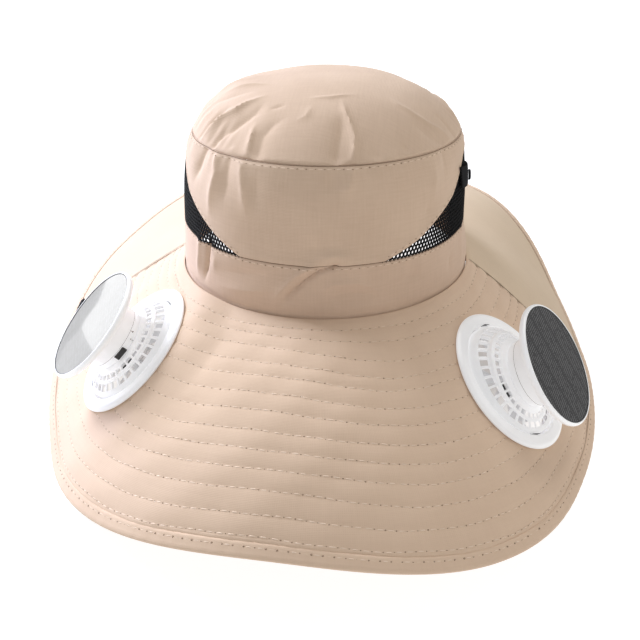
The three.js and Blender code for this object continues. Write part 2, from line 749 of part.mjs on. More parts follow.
// The impeller hangs in the throat on its own short shaft, its blades twisted towards the tips
function impeller() {
  const low = clampTop + pieceGap;
  const shaftEnd = clampTop - clampThickness + hubEnd + pieceGap;
  let body = toManifold(turned([
    [0, shaftEnd],
    [shaftRadius, shaftEnd],
    [shaftRadius, low],
    [hubRadius, low],
    [hubRadius, low + hubHeight - 2 * edgeRound],
    [hubRadius - 2 * edgeRound, low + hubHeight],
    [0, low + hubHeight],
  ], hubSides));
  const root = hubRadius - bladeRootSink;
  const bladeSpan = impellerRadius - root;
  for (let k = 0; k < bladeCount; k += 1) {
    const blade = new THREE.BoxGeometry(bladeSpan, bladeChord, bladeThickness, 2, 1, 1);
    const place = blade.getAttribute('position');
    for (let n = 0; n < place.count; n += 1) {
      const share = place.getX(n) / bladeSpan + 0.5;
      const twist = radians(bladePitch * lerp(bladeTwist.root, bladeTwist.tip, share));
      const [y, z] = [place.getY(n) * lerp(bladeSpread.root, bladeSpread.tip, share), place.getZ(n)];
      place.setY(n, y * Math.cos(twist) - z * Math.sin(twist));
      place.setZ(n, y * Math.sin(twist) + z * Math.cos(twist));
    }
    blade.translate(root + bladeSpan / 2, 0, low + hubHeight / 2);
    blade.rotateZ((k * 2 * Math.PI) / bladeCount);
    body = body.add(toManifold(closed(blade)));
  }
  return fromManifold(body);
}

function fanUnit(fan) {
  const unit = new THREE.Group();
  unit.applyMatrix4(fanFrame(fan));
  unit.add(named(`fan_flange_${fan.side}`, flange(), colours.plastic));
  unit.add(named(`fan_grille_${fan.side}`, grille(fan.headLean), colours.plastic));
  unit.add(named(`fan_clamp_${fan.side}`, clamp(), colours.plastic));
  unit.add(named(`impeller_${fan.side}`, impeller(), colours.plastic));
  const head = new THREE.Group();
  head.position.copy(bent(0, 0, grilleHeight, fan.headLean));
  head.rotation.x = radians(fan.headLean);
  head.add(named(`fan_housing_${fan.side}`, housing(fan.portAngle), colours.plastic));
  head.add(named(`charging_port_${fan.side}`, port(fan.portAngle), colours.dark));
  head.add(named(`solar_frame_${fan.side}`, solarFrame(), colours.plastic));
  head.add(named(`solar_cell_${fan.side}`, solarCell(), colours.cell));
  unit.add(head);
  return unit;
}

// The whole hat
const hat = new THREE.Group();
hat.add(named('crown_tip', crownTip(), colours.cloth));
hat.add(named('crown_side', crownSide(), colours.cloth));
hat.add(named('crown_band', crownBand(), colours.cloth));
hat.add(named('side_net_left', sideNet('left', -1), colours.net));
hat.add(named('side_net_right', sideNet('right', 1), colours.net));
hat.add(named('brim_front', brimFront(), colours.cloth));
hat.add(named('brim_back', brimBack(), colours.cloth));
hat.add(named('brim_hem', brimHem(), colours.cloth));
hat.add(named('side_strap', strap(), colours.net));
hat.add(named('strap_buckle', buckle(), colours.dark));
hat.add(named('hem_tab', hemTab(), colours.net));
for (const fan of fans) hat.add(fanUnit(fan));

// The origin is the middle of the hat's outline, on the floor
hat.updateMatrixWorld(true);
const bounds = new THREE.Box3().setFromObject(hat);
const middle = bounds.getCenter(new THREE.Vector3());
hat.position.set(-middle.x, -middle.y, -bounds.min.z);

export default hat;
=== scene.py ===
"""Solar fan hat: cloth, net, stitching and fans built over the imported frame, with camera, floor and light."""
import math

import bmesh
import bpy
import numpy as np
from mathutils import Matrix, Vector


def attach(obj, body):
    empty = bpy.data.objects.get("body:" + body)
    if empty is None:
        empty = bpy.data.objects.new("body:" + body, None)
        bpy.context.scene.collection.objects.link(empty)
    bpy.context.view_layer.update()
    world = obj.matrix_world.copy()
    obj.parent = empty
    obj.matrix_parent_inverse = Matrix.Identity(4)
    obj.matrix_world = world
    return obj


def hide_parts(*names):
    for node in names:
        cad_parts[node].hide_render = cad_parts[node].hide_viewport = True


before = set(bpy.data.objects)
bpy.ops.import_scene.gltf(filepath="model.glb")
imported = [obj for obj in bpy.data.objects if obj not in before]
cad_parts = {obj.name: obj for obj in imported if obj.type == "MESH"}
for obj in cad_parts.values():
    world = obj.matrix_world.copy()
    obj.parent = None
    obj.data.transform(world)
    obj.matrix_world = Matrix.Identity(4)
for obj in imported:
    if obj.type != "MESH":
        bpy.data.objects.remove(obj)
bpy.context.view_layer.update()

MM = 0.001
rng = np.random.default_rng(7)

# Sizes of the hat in millimetres
SEAM_A, SEAM_B, CROWN_H, BAND_H = 84.0, 97.0, 75.4, 27.5
TIP_RISE, WALL_TAPER, SHOULDER = 28.5, 2.6, 6.2
TIP_A, TIP_B = SEAM_A - WALL_TAPER - SHOULDER, SEAM_B - WALL_TAPER - SHOULDER
BRIM_W, HEM_W, HEM_T, HEM_STITCH, HEM_MM_PER_RADIAN = 125.0, 7.5, 3.6, 2.3, 2.6
SEAM_Z, LEAN, GAP = 81.5, math.radians(3.5), 0.35
SHIFT = np.array([7.2424774, -5.4267807, 0.0])
MM_PER_DEGREE, STRAP_MM_PER_DEGREE, BRIM_MM_PER_DEGREE, HEM_MM_PER_DEGREE = 1.58, 1.69, 2.6, 3.2
QUILT, PLAIN, CROWN_CLOTH = 2.6, 1.9, 1.3
FLANGE_R, FLANGE_W, FLANGE_T, CLOTH_SEAT, SEAT_BLEND = 40.0, 7.7, 2.6, 1.2, 27.0
GRILLE_H, GRILLE_TOP, HEAD_H = 8.4, 18.4, 28.1
HOUSING_R, HOUSING_TOP = 17.6, 20.6
FRAME_R, FRAME_RIM, FRAME_LIP = 32.6, 4.8, 1.4
CELL_SINK = 0.4
SIDE_SEAM_LEFT, SIDE_SEAM_RIGHT, SIDE_SEAM_GAP = -91.5, 88.0, 0.12
FAN_FOOT = GAP - CLOTH_SEAT
THROAT_R = FLANGE_R - FLANGE_W
GRILLE_BASE = THROAT_R - GAP - 0.25

# Brim rows every 30 degrees from the back: slope at the crown, slope at the hem, width share
BRIM_ROWS = np.array([
    (1, 9, 0.96), (2, 10, 0.972), (18, 26, 0.98), (33, 43, 0.98),
    (39, 52, 1.005), (26, 51.5, 1.027), (12, 51.5, 1.0), (26, 45, 1.064),
    (39, 49, 1.002), (33.5, 56, 0.966), (19, 50, 0.95), (1, 16, 0.95),
])
# Upper edge of the side nets: azimuth left, azimuth right, share of the side panel's height
NET_EDGE = np.array([
    (23.5, 29, 0), (35, 42.5, 0.16), (46, 53, 0.33), (54, 63, 0.47),
    (60, 70, 0.64), (68, 77, 0.8), (90, 90, 0.88),
])
# Sides of the crown drawn in: azimuth, spread in degrees, depth in millimetres
SIDE_DRAWS = [(92.0, 26.0, -2.6), (-92.0, 22.0, -1.6)]
# Quilting rows of the front brim, left and right of the middle: place between the first row and the last
QUILT_ROWS = np.array([
    (0.03, 0.03), (0.085, 0.105), (0.155, 0.206), (0.241, 0.290), (0.314, 0.352), (0.401, 0.436),
    (0.486, 0.513), (0.578, 0.598), (0.658, 0.676), (0.738, 0.755), (0.824, 0.841), (0.925, 0.931),
    (1.012, 1.012),
])
FIRST_ROW, LAST_ROW = 5.5, 10.7
CREASE_GAIN, CREASE_POWER = 1.45, 1.2
# Fans: azimuth, reach as a share of BRIM_W, lean of the head, place of the port in degrees
FANS = {"left": (-50.5, 0.403, 3.7, 5.0), "right": (56.5, 0.477, 12.0, 330.0)}

# Folds of the crown wall: points of azimuth and height, width and depth in millimetres, open ends
WALL_FOLDS = [
    ([(-38, 75.4), (-35.5, 67), (-37, 55.5), (-38.5, 40)], 4.0, 1.4, "start"),
    ([(-47, 75.4), (-49, 64), (-51, 55)], 4.2, -1.9, "start"),
    ([(-31, 75.4), (-30, 62), (-31, 50)], 4.6, -1.0, "start"),
    ([(-24, 75.4), (-23.5, 70), (-22, 62), (-20, 46)], 3.2, 1.0, "start"),
    ([(-17, 74), (-17, 62), (-16, 50)], 5.0, -0.7, ""),
    ([(52, 75), (50, 58), (50, 50)], 4.2, 0.9, ""),
    ([(59, 75), (57, 60)], 4.0, -0.8, "start"),
    ([(17.5, 75.4), (16.5, 69), (14.5, 60)], 3.8, 1.0, "start"),
    ([(11, 74), (10, 63)], 4.5, -0.6, ""),
    ([(12, 66), (18, 65)], 2.0, 0.35, ""),
    ([(46, 53), (47, 43)], 3.0, -0.5, ""),
    ([(3, 31), (11, 33), (21, 30.5)], 2.6, 1.2, ""),
    ([(-6, 35), (8, 37.5), (24, 35)], 4.0, -0.5, ""),
    ([(-39, 28.5), (-40.5, 18), (-43, 3.5)], 1.5, -1.9, "start"),
    ([(-44.5, 27), (-46, 14), (-48, 4)], 3.0, 1.3, "start"),
    ([(-34, 26), (-37, 12)], 3.0, 0.6, ""),
    ([(-8, 2.5), (-4, 12), (1.5, 20.5), (6, 25), (11.5, 27.5)], 1.3, -1.5, "end"),
    ([(-11, 4), (-7.5, 13), (-2, 22), (3, 27)], 2.2, 1.1, "end"),
    ([(-37, 7), (-20.5, 10), (-6, 14)], 4.2, 0.8, ""),
    ([(-37, 16), (-22, 18.5), (-8, 22)], 3.6, -0.6, ""),
    ([(5, 13), (11, 18), (19, 18), (28, 12)], 2.4, 0.9, ""),
    ([(7, 8), (14, 12.5), (22, 12), (30, 7)], 3.0, -0.8, ""),
    ([(34, 12), (38.5, 16), (46, 17.5)], 3.0, -0.7, ""),
    ([(63, 21), (60.5, 6)], 2.4, -0.7, ""),
    ([(74, 26), (72, 4)], 3.0, 0.6, "start"),
    ([(112, 75), (110, 40), (113, 8)], 6.0, -1.1, ""),
    ([(138, 75), (140, 50), (138, 30)], 4.0, 0.9, "start"),
    ([(160, 75), (162, 35), (158, 5)], 6.0, -1.1, ""),
    ([(-178, 74), (-176, 45)], 4.5, 0.8, "start"),
    ([(-150, 75), (-152, 40), (-149, 5)], 6.0, -1.1, ""),
    ([(-128, 75), (-130, 55)], 4.0, 0.9, "start"),
    ([(-112, 60), (-114, 10)], 5.0, -0.9, ""),
]

# Folds of the crown tip: points in plan, width and depth in millimetres, open ends
TIP_FOLDS = [
    ([(12.8, -46.6), (16, -58.6), (20, -66.6), (22.4, -73.8), (23.2, -87)], 1.5, 1.35, "end"),
    ([(14.5, -58), (15.5, -72), (15, -86)], 3.6, -1.1, "end"),
    ([(28, -78), (39, -74)], 3.2, -0.6, ""),
    ([(71, -33), (64.8, -33.8), (56.8, -37.8), (50, -38.6), (41.6, -37), (32.8, -30.6)], 1.7, 0.95, "start"),
    ([(68, -40), (58, -45), (46, -46)], 4.5, -1.0, "start"),
    ([(72, -26), (64, -22.6), (58, -23.4)], 2.0, -0.8, "start"),
    ([(46.4, -61), (47.4, -67)], 1.4, -0.6, ""),
    ([(43, 47), (54, 33), (64, 15), (70, 6)], 3.0, 1.3, "end"),
    ([(-61, -56), (-57.6, -53), (-51.2, -50.6), (-41.6, -49.8), (-36, -46.6), (-24.8, -41)],
     2.0, 1.9, "start"),
    ([(-52, -66), (-48, -61), (-39.2, -60.2), (-29.6, -55.4), (-24.8, -46)], 3.4, -1.8, "start"),
    ([(-62, -50), (-56.8, -46), (-51, -43.4), (-44, -42)], 2.2, -1.7, "start"),
    ([(-28, -62), (-28.8, -73.8), (-29.6, -85)], 1.9, 1.5, "end"),
    ([(-23.5, -82), (-22, -72), (-18.5, -67), (-10, -63)], 3.6, -1.1, "start"),
    ([(-37, -72), (-41, -79)], 3.0, 0.9, "end"),
    ([(-57, -20), (-42.4, -23.4), (-25, -28)], 1.7, 0.9, ""),
    ([(-62, -26), (-46, -31), (-32, -35)], 2.6, -0.8, ""),
    ([(-66, -2), (-56, 2), (-46, 6), (-26, -4)], 2.2, -0.9, ""),
    ([(-68, -12), (-54, -9), (-38, -12)], 2.2, 0.8, ""),
    ([(-23.2, -55.4), (-12.8, -53.8)], 1.2, -0.6, ""),
    ([(-6, -49.8), (7.2, -47.4), (22, -39.4)], 1.2, 0.55, ""),
    ([(-8, -68), (-2.4, -64.2), (-0.8, -54.6)], 1.7, 0.5, ""),
    ([(66, 28), (46, 24), (30, 12)], 4.0, -1.1, "start"),
    ([(38, 76), (30, 58), (18, 40)], 4.0, -1.2, "start"),
    ([(-2, 86), (0, 64), (6, 44)], 3.6, 1.0, "start"),
    ([(-42, 72), (-32, 56), (-22, 36)], 4.0, -1.2, "start"),
    ([(-68, 34), (-50, 26), (-34, 20)], 3.6, 1.0, "start"),
]

# Net: pitch and hole radius of its cells, height that they cover, first azimuth on each side
NET_PITCH, NET_HOLE, NET_HEIGHT, NET_WALL = 2.4, 0.8, 46.0, 0.55
NET_ROW = 0.866
NET_START = {"left": 23.0, "right": 28.6}
# Strap: height of its middle at an azimuth, and its fall over a span of degrees
STRAP_MIDDLE, STRAP_MIDDLE_AT, STRAP_FALL, STRAP_SPAN = 58.5, 64, 14, 44
# Black tab inside the left hem: azimuth and half its width in degrees, reach and wall in millimetres
TAB_AT, TAB_HALF, TAB_REACH, TAB_WALL = -96.5, 2.66, 3.0, 1.1

# Lights: name, place and target in metres, size, power in watts, colour, seen in glossy reflections
LIGHTS = [
    ("key", (-1.55, 0.8, 1.35), (0, 0, 0.06), (1.0, 1.0), 60, (0.94, 1.0, 1.14), True),
    ("overhead", (0.35, 0.7, 1.9), (0, 0, 0.1), (1.2, 1.2), 10, (1.0, 1.0, 1.0), True),
    ("left_fill", (-1.5, -0.3, 0.5), (-0.1, -0.05, 0.05), (1.0, 0.8), 1.0, (0.96, 1.0, 1.1), False),
    ("front_fill", (-1.2, -1.2, 0.9), (0, 0, 0.05), (1.0, 1.0), 1.4, (0.94, 1.0, 1.16), True),
    ("window", (-1.25, 0.78, 0.17), (-0.1, -0.1, 0.06), (1.0, 0.5), 13, (0.86, 0.93, 1.6), False),
    ("warm_fill", (1.8, -0.2, 0.8), (0, 0, 0.05), (1.2, 1.2), 5, (1.0, 0.93, 0.82), True),
]
WORLD_LIGHT = 0.40

# Boards that glossy faces mirror: place of the cell they stand before in metres, azimuth, distance in
# millimetres, outline in millimetres across and up, radiance
LEFT_CELL, RIGHT_CELL = (-0.107, -0.099), (0.145, -0.095)
BOARDS = [
    ("pane", LEFT_CELL, -52, 450, [
        (-70, 140), (90, 140), (90, 62), (60, 56), (34, 49), (18, 43), (5, 40),
        (-4, 45), (-12, 53), (-21, 61), (-31, 67), (-41, 72), (-70, 76)], 2.65),
    ("pane_foot", LEFT_CELL, -52, 470, [
        (2, 42), (18, 46), (34, 52), (60, 59), (95, 66), (95, 0), (45, 3), (20, 20)], 1.85),
    ("pane_frame", LEFT_CELL, -52, 500, [(-140, 200), (160, 200), (160, -20), (-140, -20)], 1.42),
    ("dark_board", RIGHT_CELL, 50, 210, [(-500, 400), (500, 400), (500, -5), (-500, -5)], 0.21),
]

# Floor: half its side and its depth below the hat in metres; its own light under the hat and outside an
# oval, which lies at a place and has a scale, and whose edge is soft between two radii
# The weaker light in the oval under the hat is a painted shadow.
FLOOR_HALF, FLOOR_LOW = 6.0, -0.0004
FLOOR_OVAL_AT, FLOOR_OVAL_SCALE, FLOOR_OVAL_EDGE = (-0.06, 0.05, 0), (7.6, 9.5, 1), (0.8, 1.15)
FLOOR_LIGHT_UNDER, FLOOR_LIGHT_OUTSIDE = 0.34, 0.86

CAMERA_AT = (0.0649101, -0.4475875, 0.2879113)
CAMERA_AXES = (
    (0.990636, -0.065110, 0.120000), (0.136477, 0.495796, -0.857648), (-0.003654, 0.865995, 0.500039),
)
LENS = 45.10


# Shape of the hat

def column(k, azimuth):
    place = np.mod(np.asarray(azimuth, float) + 180, 360) / 30
    first = np.floor(place).astype(int)
    t = place - first
    a, b, c, d = (BRIM_ROWS[:, k][(first + n) % 12] for n in (-1, 0, 1, 2))
    return b + 0.5 * t * (c - a + t * (2 * a - 5 * b + 4 * c - d + t * (3 * (b - c) + d - a)))


def azimuths(columns):
    return np.arange(columns) / columns * 360 - 180


def turn(a, b=0.0):
    return np.mod(np.asarray(a, float) - b + 540, 360) - 180


def smooth(x, low, high):
    t = np.clip((np.asarray(x, float) - low) / (high - low), 0, 1)
    return t * t * (3 - 2 * t)


def net_rise(azimuth):
    a = turn(azimuth)
    place = np.minimum(np.abs(a), 180 - np.abs(a))
    left = np.interp(place, NET_EDGE[:, 0], NET_EDGE[:, 2])
    right = np.interp(place, NET_EDGE[:, 1], NET_EDGE[:, 2])
    return (CROWN_H - BAND_H) * np.where(a < 0, left, right)


def unit(v):
    return v / np.maximum(np.linalg.norm(v, axis=-1, keepdims=True), 1e-12)


def ring(azimuth, a, b):
    t = np.radians(azimuth)
    zero = 0 * t + 0 * a
    return (np.stack([a * np.sin(t), -b * np.cos(t), zero], -1),
            unit(np.stack([b * np.sin(t), -a * np.cos(t), zero], -1)))


STAND = np.array([[1, 0, 0], [0, math.cos(LEAN), math.sin(LEAN)], [0, -math.sin(LEAN), math.cos(LEAN)]])


def stand(points):
    return points @ STAND.T + np.array([0, 0, SEAM_Z]) + SHIFT


def along(points, x, y):
    """Distance from each place to a line of points, and how far along it the nearest place lies."""
    best, place, total = np.full(np.shape(x), 1e9), np.zeros(np.shape(x)), 0.0
    pts = np.asarray(points, float)
    lengths = np.linalg.norm(np.diff(pts, axis=0), axis=1)
    for k, span in enumerate(lengths):
        p, d = pts[k], (pts[k + 1] - pts[k]) / span
        t = np.clip((x - p[0]) * d[0] + (y - p[1]) * d[1], 0, span)
        far = np.hypot(x - p[0] - t * d[0], y - p[1] - t * d[1])
        nearer = far < best
        best = np.where(nearer, far, best)
        place = np.where(nearer, total + t, place)
        total += span
    return best, place / total


def folds(table, x, y):
    """Sum of the folds at each place, tapered at the ends that aren't open."""
    total = np.zeros(np.shape(x))
    for points, width, depth, open_end in table:
        far, place = along(points, x, y)
        taper = np.ones_like(place)
        if open_end != "start":
            taper = taper * smooth(place, -0.02, 0.45)
        if open_end != "end":
            taper = taper * (1 - smooth(place, 0.5, 1.02))
        total += CREASE_GAIN * depth * taper * np.exp(-(far / width) ** CREASE_POWER)
    return total


WALL_FOLDS_MM = [([(a * MM_PER_DEGREE, h) for a, h in points], w, d, e) for points, w, d, e in WALL_FOLDS]
WAVES = [(rng.uniform(0.03, 0.13, 2), rng.uniform(0, 6.28, 2), rng.uniform(0.3, 1.0)) for _ in range(14)]


def drift(x, y, scale=1.0):
    """Slow unevenness of soft cloth."""
    total = np.zeros(np.shape(x))
    for (fx, fy), (px, py), size in WAVES:
        total += size * np.sin(fx * scale * x + px) * np.sin(fy * scale * y + py)
    return total / 5


def wall(azimuth, height, extra=0.0):
    """Outer face of the crown wall with its folds."""
    azimuth, height = np.broadcast_arrays(np.asarray(azimuth, float), np.asarray(height, float))
    share = height / CROWN_H
    inset = WALL_TAPER * share + SHOULDER * np.clip(share, 0, 2) ** 7
    points, out = ring(azimuth, SEAM_A - inset, SEAM_B - inset)
    x = turn(azimuth) * MM_PER_DEGREE
    offset = folds(WALL_FOLDS_MM, x, height) + 0.8 * drift(x, height) * smooth(height, 0, 8)
    gathers = np.sin(x * 0.62 + 2.2 * np.sin(x * 0.11)) * smooth(share, 0.86, 1.0)
    puckered = smooth(turn(azimuth), -20, -45) + smooth(np.abs(turn(azimuth)), 70, 95)
    offset = offset + 0.32 * gathers * np.clip(puckered, 0, 1)
    for place, spread, depth in SIDE_DRAWS:
        drawn = np.exp(-(turn(azimuth, place) / spread) ** 2) * smooth(height, 3, 26)
        drawn = drawn * (1 - 0.8 * smooth(height, 58, 75))
        offset = offset + depth * drawn
    calm = smooth(height, 0, 2.5) * (1 - 0.75 * smooth(share, 0.97, 1.0))
    points = points + out * (offset * calm + extra)[..., None]
    points[..., 2] = height
    return stand(points)


def tip(x, y):
    """Outer face of the crown tip, from its place in plan."""
    share = np.hypot(x / TIP_A, y / TIP_B)
    height = TIP_RISE * (1 - np.minimum(share, 1) ** 2.9)
    azimuth = np.degrees(np.arctan2(x / TIP_A, -y / TIP_B))
    swell = np.exp(-(turn(azimuth, -84) / 30) ** 2) * smooth(share, 0.35, 0.7) * (1 - smooth(share, 0.9, 1.0))
    swell_right = np.exp(-(turn(azimuth, 98) / 16) ** 2) * smooth(share, 0.4, 0.7)
    swell_right = swell_right * (1 - smooth(share, 0.9, 1.0))
    height = height + 3.4 * swell + 1.0 * swell_right
    height = height + folds(TIP_FOLDS, x, y) * (1 - 0.7 * smooth(share, 0.96, 1.0))
    height = height + 0.6 * drift(x + 40, y + 11) * (1 - smooth(share, 0.9, 1.0))
    gathers = np.sin(np.radians(azimuth) * 62 + 2 * np.sin(np.radians(azimuth) * 9))
    puckered = np.clip(smooth(azimuth, -25, -45) + smooth(np.abs(azimuth), 75, 95), 0, 1)
    height = height + 0.4 * gathers * puckered * smooth(share, 0.8, 0.93) * (1 - smooth(share, 0.97, 1.0))
    return stand(np.stack([x, y, CROWN_H + GAP + height], -1))


def reach_of(azimuth):
    return BRIM_W * column(2, azimuth)


def free_brim(azimuth, reach):
    azimuth, reach = np.broadcast_arrays(np.asarray(azimuth, float), np.asarray(reach, float))
    start = np.radians(column(0, azimuth))
    bend = (np.radians(column(1, azimuth)) - start) / reach_of(azimuth)
    bend = np.where(np.abs(bend) < 1e-6, 1e-6, bend)
    out = (np.sin(start + bend * reach) - np.sin(start)) / bend
    drop = (np.cos(start) - np.cos(start + bend * reach)) / bend
    points, away = ring(azimuth, SEAM_A, SEAM_B)
    points = points + away * out[..., None]
    points[..., 2] = -drop
    return stand(points)


def fan_places():
    places = {}
    span = 0.7 * FLANGE_R
    for side, (azimuth, share, lean, port) in FANS.items():
        reach = share * BRIM_W
        swing = math.degrees(span / (SEAM_A + reach / 2))
        middle, inner, outer = (free_brim(azimuth, reach + k) for k in (0, -span, span))
        front, rear = free_brim(azimuth - swing, reach), free_brim(azimuth + swing, reach)
        axis = unit(np.cross(outer - inner, rear - front))
        centre = (2 * middle + inner + outer) / 4
        x = unit(np.cross([0, 0, 1], axis))
        y = np.cross(axis, x)
        places[side] = {"axis": axis, "centre": centre, "x": x, "y": y, "lean": lean, "port": port}
    return places


PLACES = fan_places()


def brim(azimuth, reach):
    """Upper face of the brim: lifted where it rests, level with the seat of each fan."""
    points = free_brim(azimuth, reach)
    hem = free_brim(azimuth, reach_of(azimuth) - HEM_W / 2)[..., 2]
    lift = np.maximum(0, HEM_T * 0.86 - hem)
    points[..., 2] += lift * np.maximum(0, reach / reach_of(azimuth)) ** 4
    for fan in PLACES.values():
        above, aside = from_axis(points, fan)
        hold = (1 - smooth(aside, FLANGE_R + 3, FLANGE_R + SEAT_BLEND)) * (np.abs(above) < FLANGE_R)
        points -= (hold * (above + CLOTH_SEAT))[..., None] * fan["axis"]
    return points


def from_axis(points, fan):
    """How far points lie above a fan's seat, and how far from its axis."""
    to_point = points - fan["centre"]
    above = to_point @ fan["axis"]
    return above, np.sqrt(np.maximum(0, (to_point ** 2).sum(-1) - above ** 2))


def upward(vectors):
    """Unit vectors, turned round where they point down."""
    vectors = unit(vectors)
    return np.where(vectors[:, 2:3] < 0, -vectors, vectors)


def brim_line(azimuth, reach, aside=0.0, beyond=0.0):
    """A line on the brim and its normals, from a second line a little aside or beyond."""
    line = brim(azimuth, reach)
    second = brim(azimuth + aside, reach + beyond)
    return line, upward(np.cross(second - line, np.gradient(line, axis=0)))


def wall_line(azimuth, height, extra=0.0, step=0.6):
    """A line on the crown wall and its normals."""
    line = wall(azimuth, height, extra)
    second = wall(azimuth, height + step, extra)
    return line, unit(np.cross(np.gradient(line, axis=0), second - line))


# Mesh making

def add_object(name, points_mm, faces, uvs=None, material=None, smooth_angle=None, scale=MM):
    mesh = bpy.data.meshes.new(name)
    mesh.from_pydata((np.asarray(points_mm) * scale).tolist(), [], [list(map(int, f)) for f in faces])
    if uvs is not None:
        layer = mesh.uv_layers.new(name="UVMap")
        loops = np.zeros(len(mesh.loops), int)
        mesh.loops.foreach_get("vertex_index", loops)
        layer.data.foreach_set("uv", np.asarray(uvs, float)[loops].astype(np.float32).ravel())
    mesh.polygons.foreach_set("use_smooth", [True] * len(mesh.polygons))
    if smooth_angle is not None:
        mesh.set_sharp_from_angle(angle=math.radians(smooth_angle))
    if material:
        mesh.materials.append(material)
    mesh.validate()
    mesh.update()
    obj = bpy.data.objects.new(name, mesh)
    bpy.context.scene.collection.objects.link(obj)
    return obj


def grid_normals(points, closed):
    if closed:
        across = np.roll(points, -1, 1) - np.roll(points, 1, 1)
    else:
        across = np.gradient(points, axis=1)
    down = np.gradient(points, axis=0)
    return unit(np.cross(across, down))


def cloth(name, points, uv, wall_mm, side, material, closed=False, keep=None):
    """A two-sided sheet from a grid of outer points in millimetres, with its wall on one side.
    keep marks the grid squares that are there; the sheet's edges are closed all round."""
    rows, cols = points.shape[:2]
    normal = grid_normals(points, closed) * side
    inner = points - normal * wall_mm
    count = rows * cols
    vertices = np.concatenate([points.reshape(-1, 3), inner.reshape(-1, 3)])
    uvs = np.concatenate([uv.reshape(-1, 2), uv.reshape(-1, 2)])
    spans = cols if closed else cols - 1
    j, i = np.meshgrid(np.arange(rows - 1), np.arange(spans), indexing="ij")
    if keep is None:
        keep = np.ones((rows - 1, spans), bool)
    j, i = j[keep], i[keep]
    n = (i + 1) % cols
    a, b, c, d = j * cols + i, j * cols + n, (j + 1) * cols + n, (j + 1) * cols + i
    quads = np.stack([a, b, c, d], 1)
    if side < 0:
        quads = quads[:, ::-1]
    under = quads[:, ::-1] + count
    edges = {}
    for quad in quads:
        for k in range(4):
            e = (quad[k], quad[(k + 1) % 4])
            if (e[1], e[0]) in edges:
                del edges[(e[1], e[0])]
            else:
                edges[e] = True
    rims = [(e[1], e[0], e[0] + count, e[1] + count) for e in edges]
    faces = np.concatenate([quads, under, np.array(rims)]) if rims else np.concatenate([quads, under])
    used = np.unique(faces)
    renumber = np.zeros(2 * count, int)
    renumber[used] = np.arange(len(used))
    return add_object(name, vertices[used], renumber[faces], uvs[used], material, 50)


def lathe(profile, segments=96, start=0.0):
    """Points and quads of a closed ring profile turned about Z; radii of 0 make fans."""
    profile = np.asarray(profile, float)
    angles = start + np.arange(segments) / segments * 2 * np.pi
    rings = len(profile)
    points = np.zeros((rings, segments, 3))
    points[..., 0] = profile[:, 0, None] * np.cos(angles)
    points[..., 1] = profile[:, 0, None] * np.sin(angles)
    points[..., 2] = profile[:, 1, None]
    closed_profile = np.allclose(profile[0], profile[-1])
    last = rings - 1
    faces = []
    for j in range(last):
        k = (j + 1) % last if closed_profile else j + 1
        for i in range(segments):
            n = (i + 1) % segments
            quad = [j * segments + i, j * segments + n, k * segments + n, k * segments + i]
            if profile[j, 0] < 1e-6:
                quad = [j * segments, k * segments + n, k * segments + i]
            elif profile[k, 0] < 1e-6:
                quad = [j * segments + i, j * segments + n, k * segments]
            faces.append(quad)
    flat = points.reshape(-1, 3)
    used = np.unique(np.concatenate([np.array(f) for f in faces]))
    renumber = {old: new for new, old in enumerate(used)}
    faces = [[renumber[v] for v in f] for f in faces]
    return flat[used], faces


def join(parts):
    """One list of points and faces from several."""
    points, faces, base = [], [], 0
    for p, f in parts:
        points.append(np.asarray(p))
        faces += [[v + base for v in face] for face in f]
        base += len(p)
    return np.concatenate(points), faces


def rounded(corners, size, steps=3):
    """A profile whose sharp corners are rounded; each corner is radius, height and rounding share."""
    result = []
    count = len(corners)
    for k, (r, z, share) in enumerate(corners):
        p = np.array([r, z], float)
        if share <= 0 or k in (0, count - 1):
            result.append(p)
            continue
        before, after = np.array(corners[k - 1][:2], float), np.array(corners[k + 1][:2], float)
        back, on = before - p, after - p
        reach = min(size * share, 0.45 * np.linalg.norm(back), 0.45 * np.linalg.norm(on))
        p0, p1 = p + unit(back) * reach, p + unit(on) * reach
        for s in np.linspace(0, 1, steps + 1):
            result.append((1 - s) ** 2 * p0 + 2 * s * (1 - s) * p + s ** 2 * p1)
    return result


# Materials

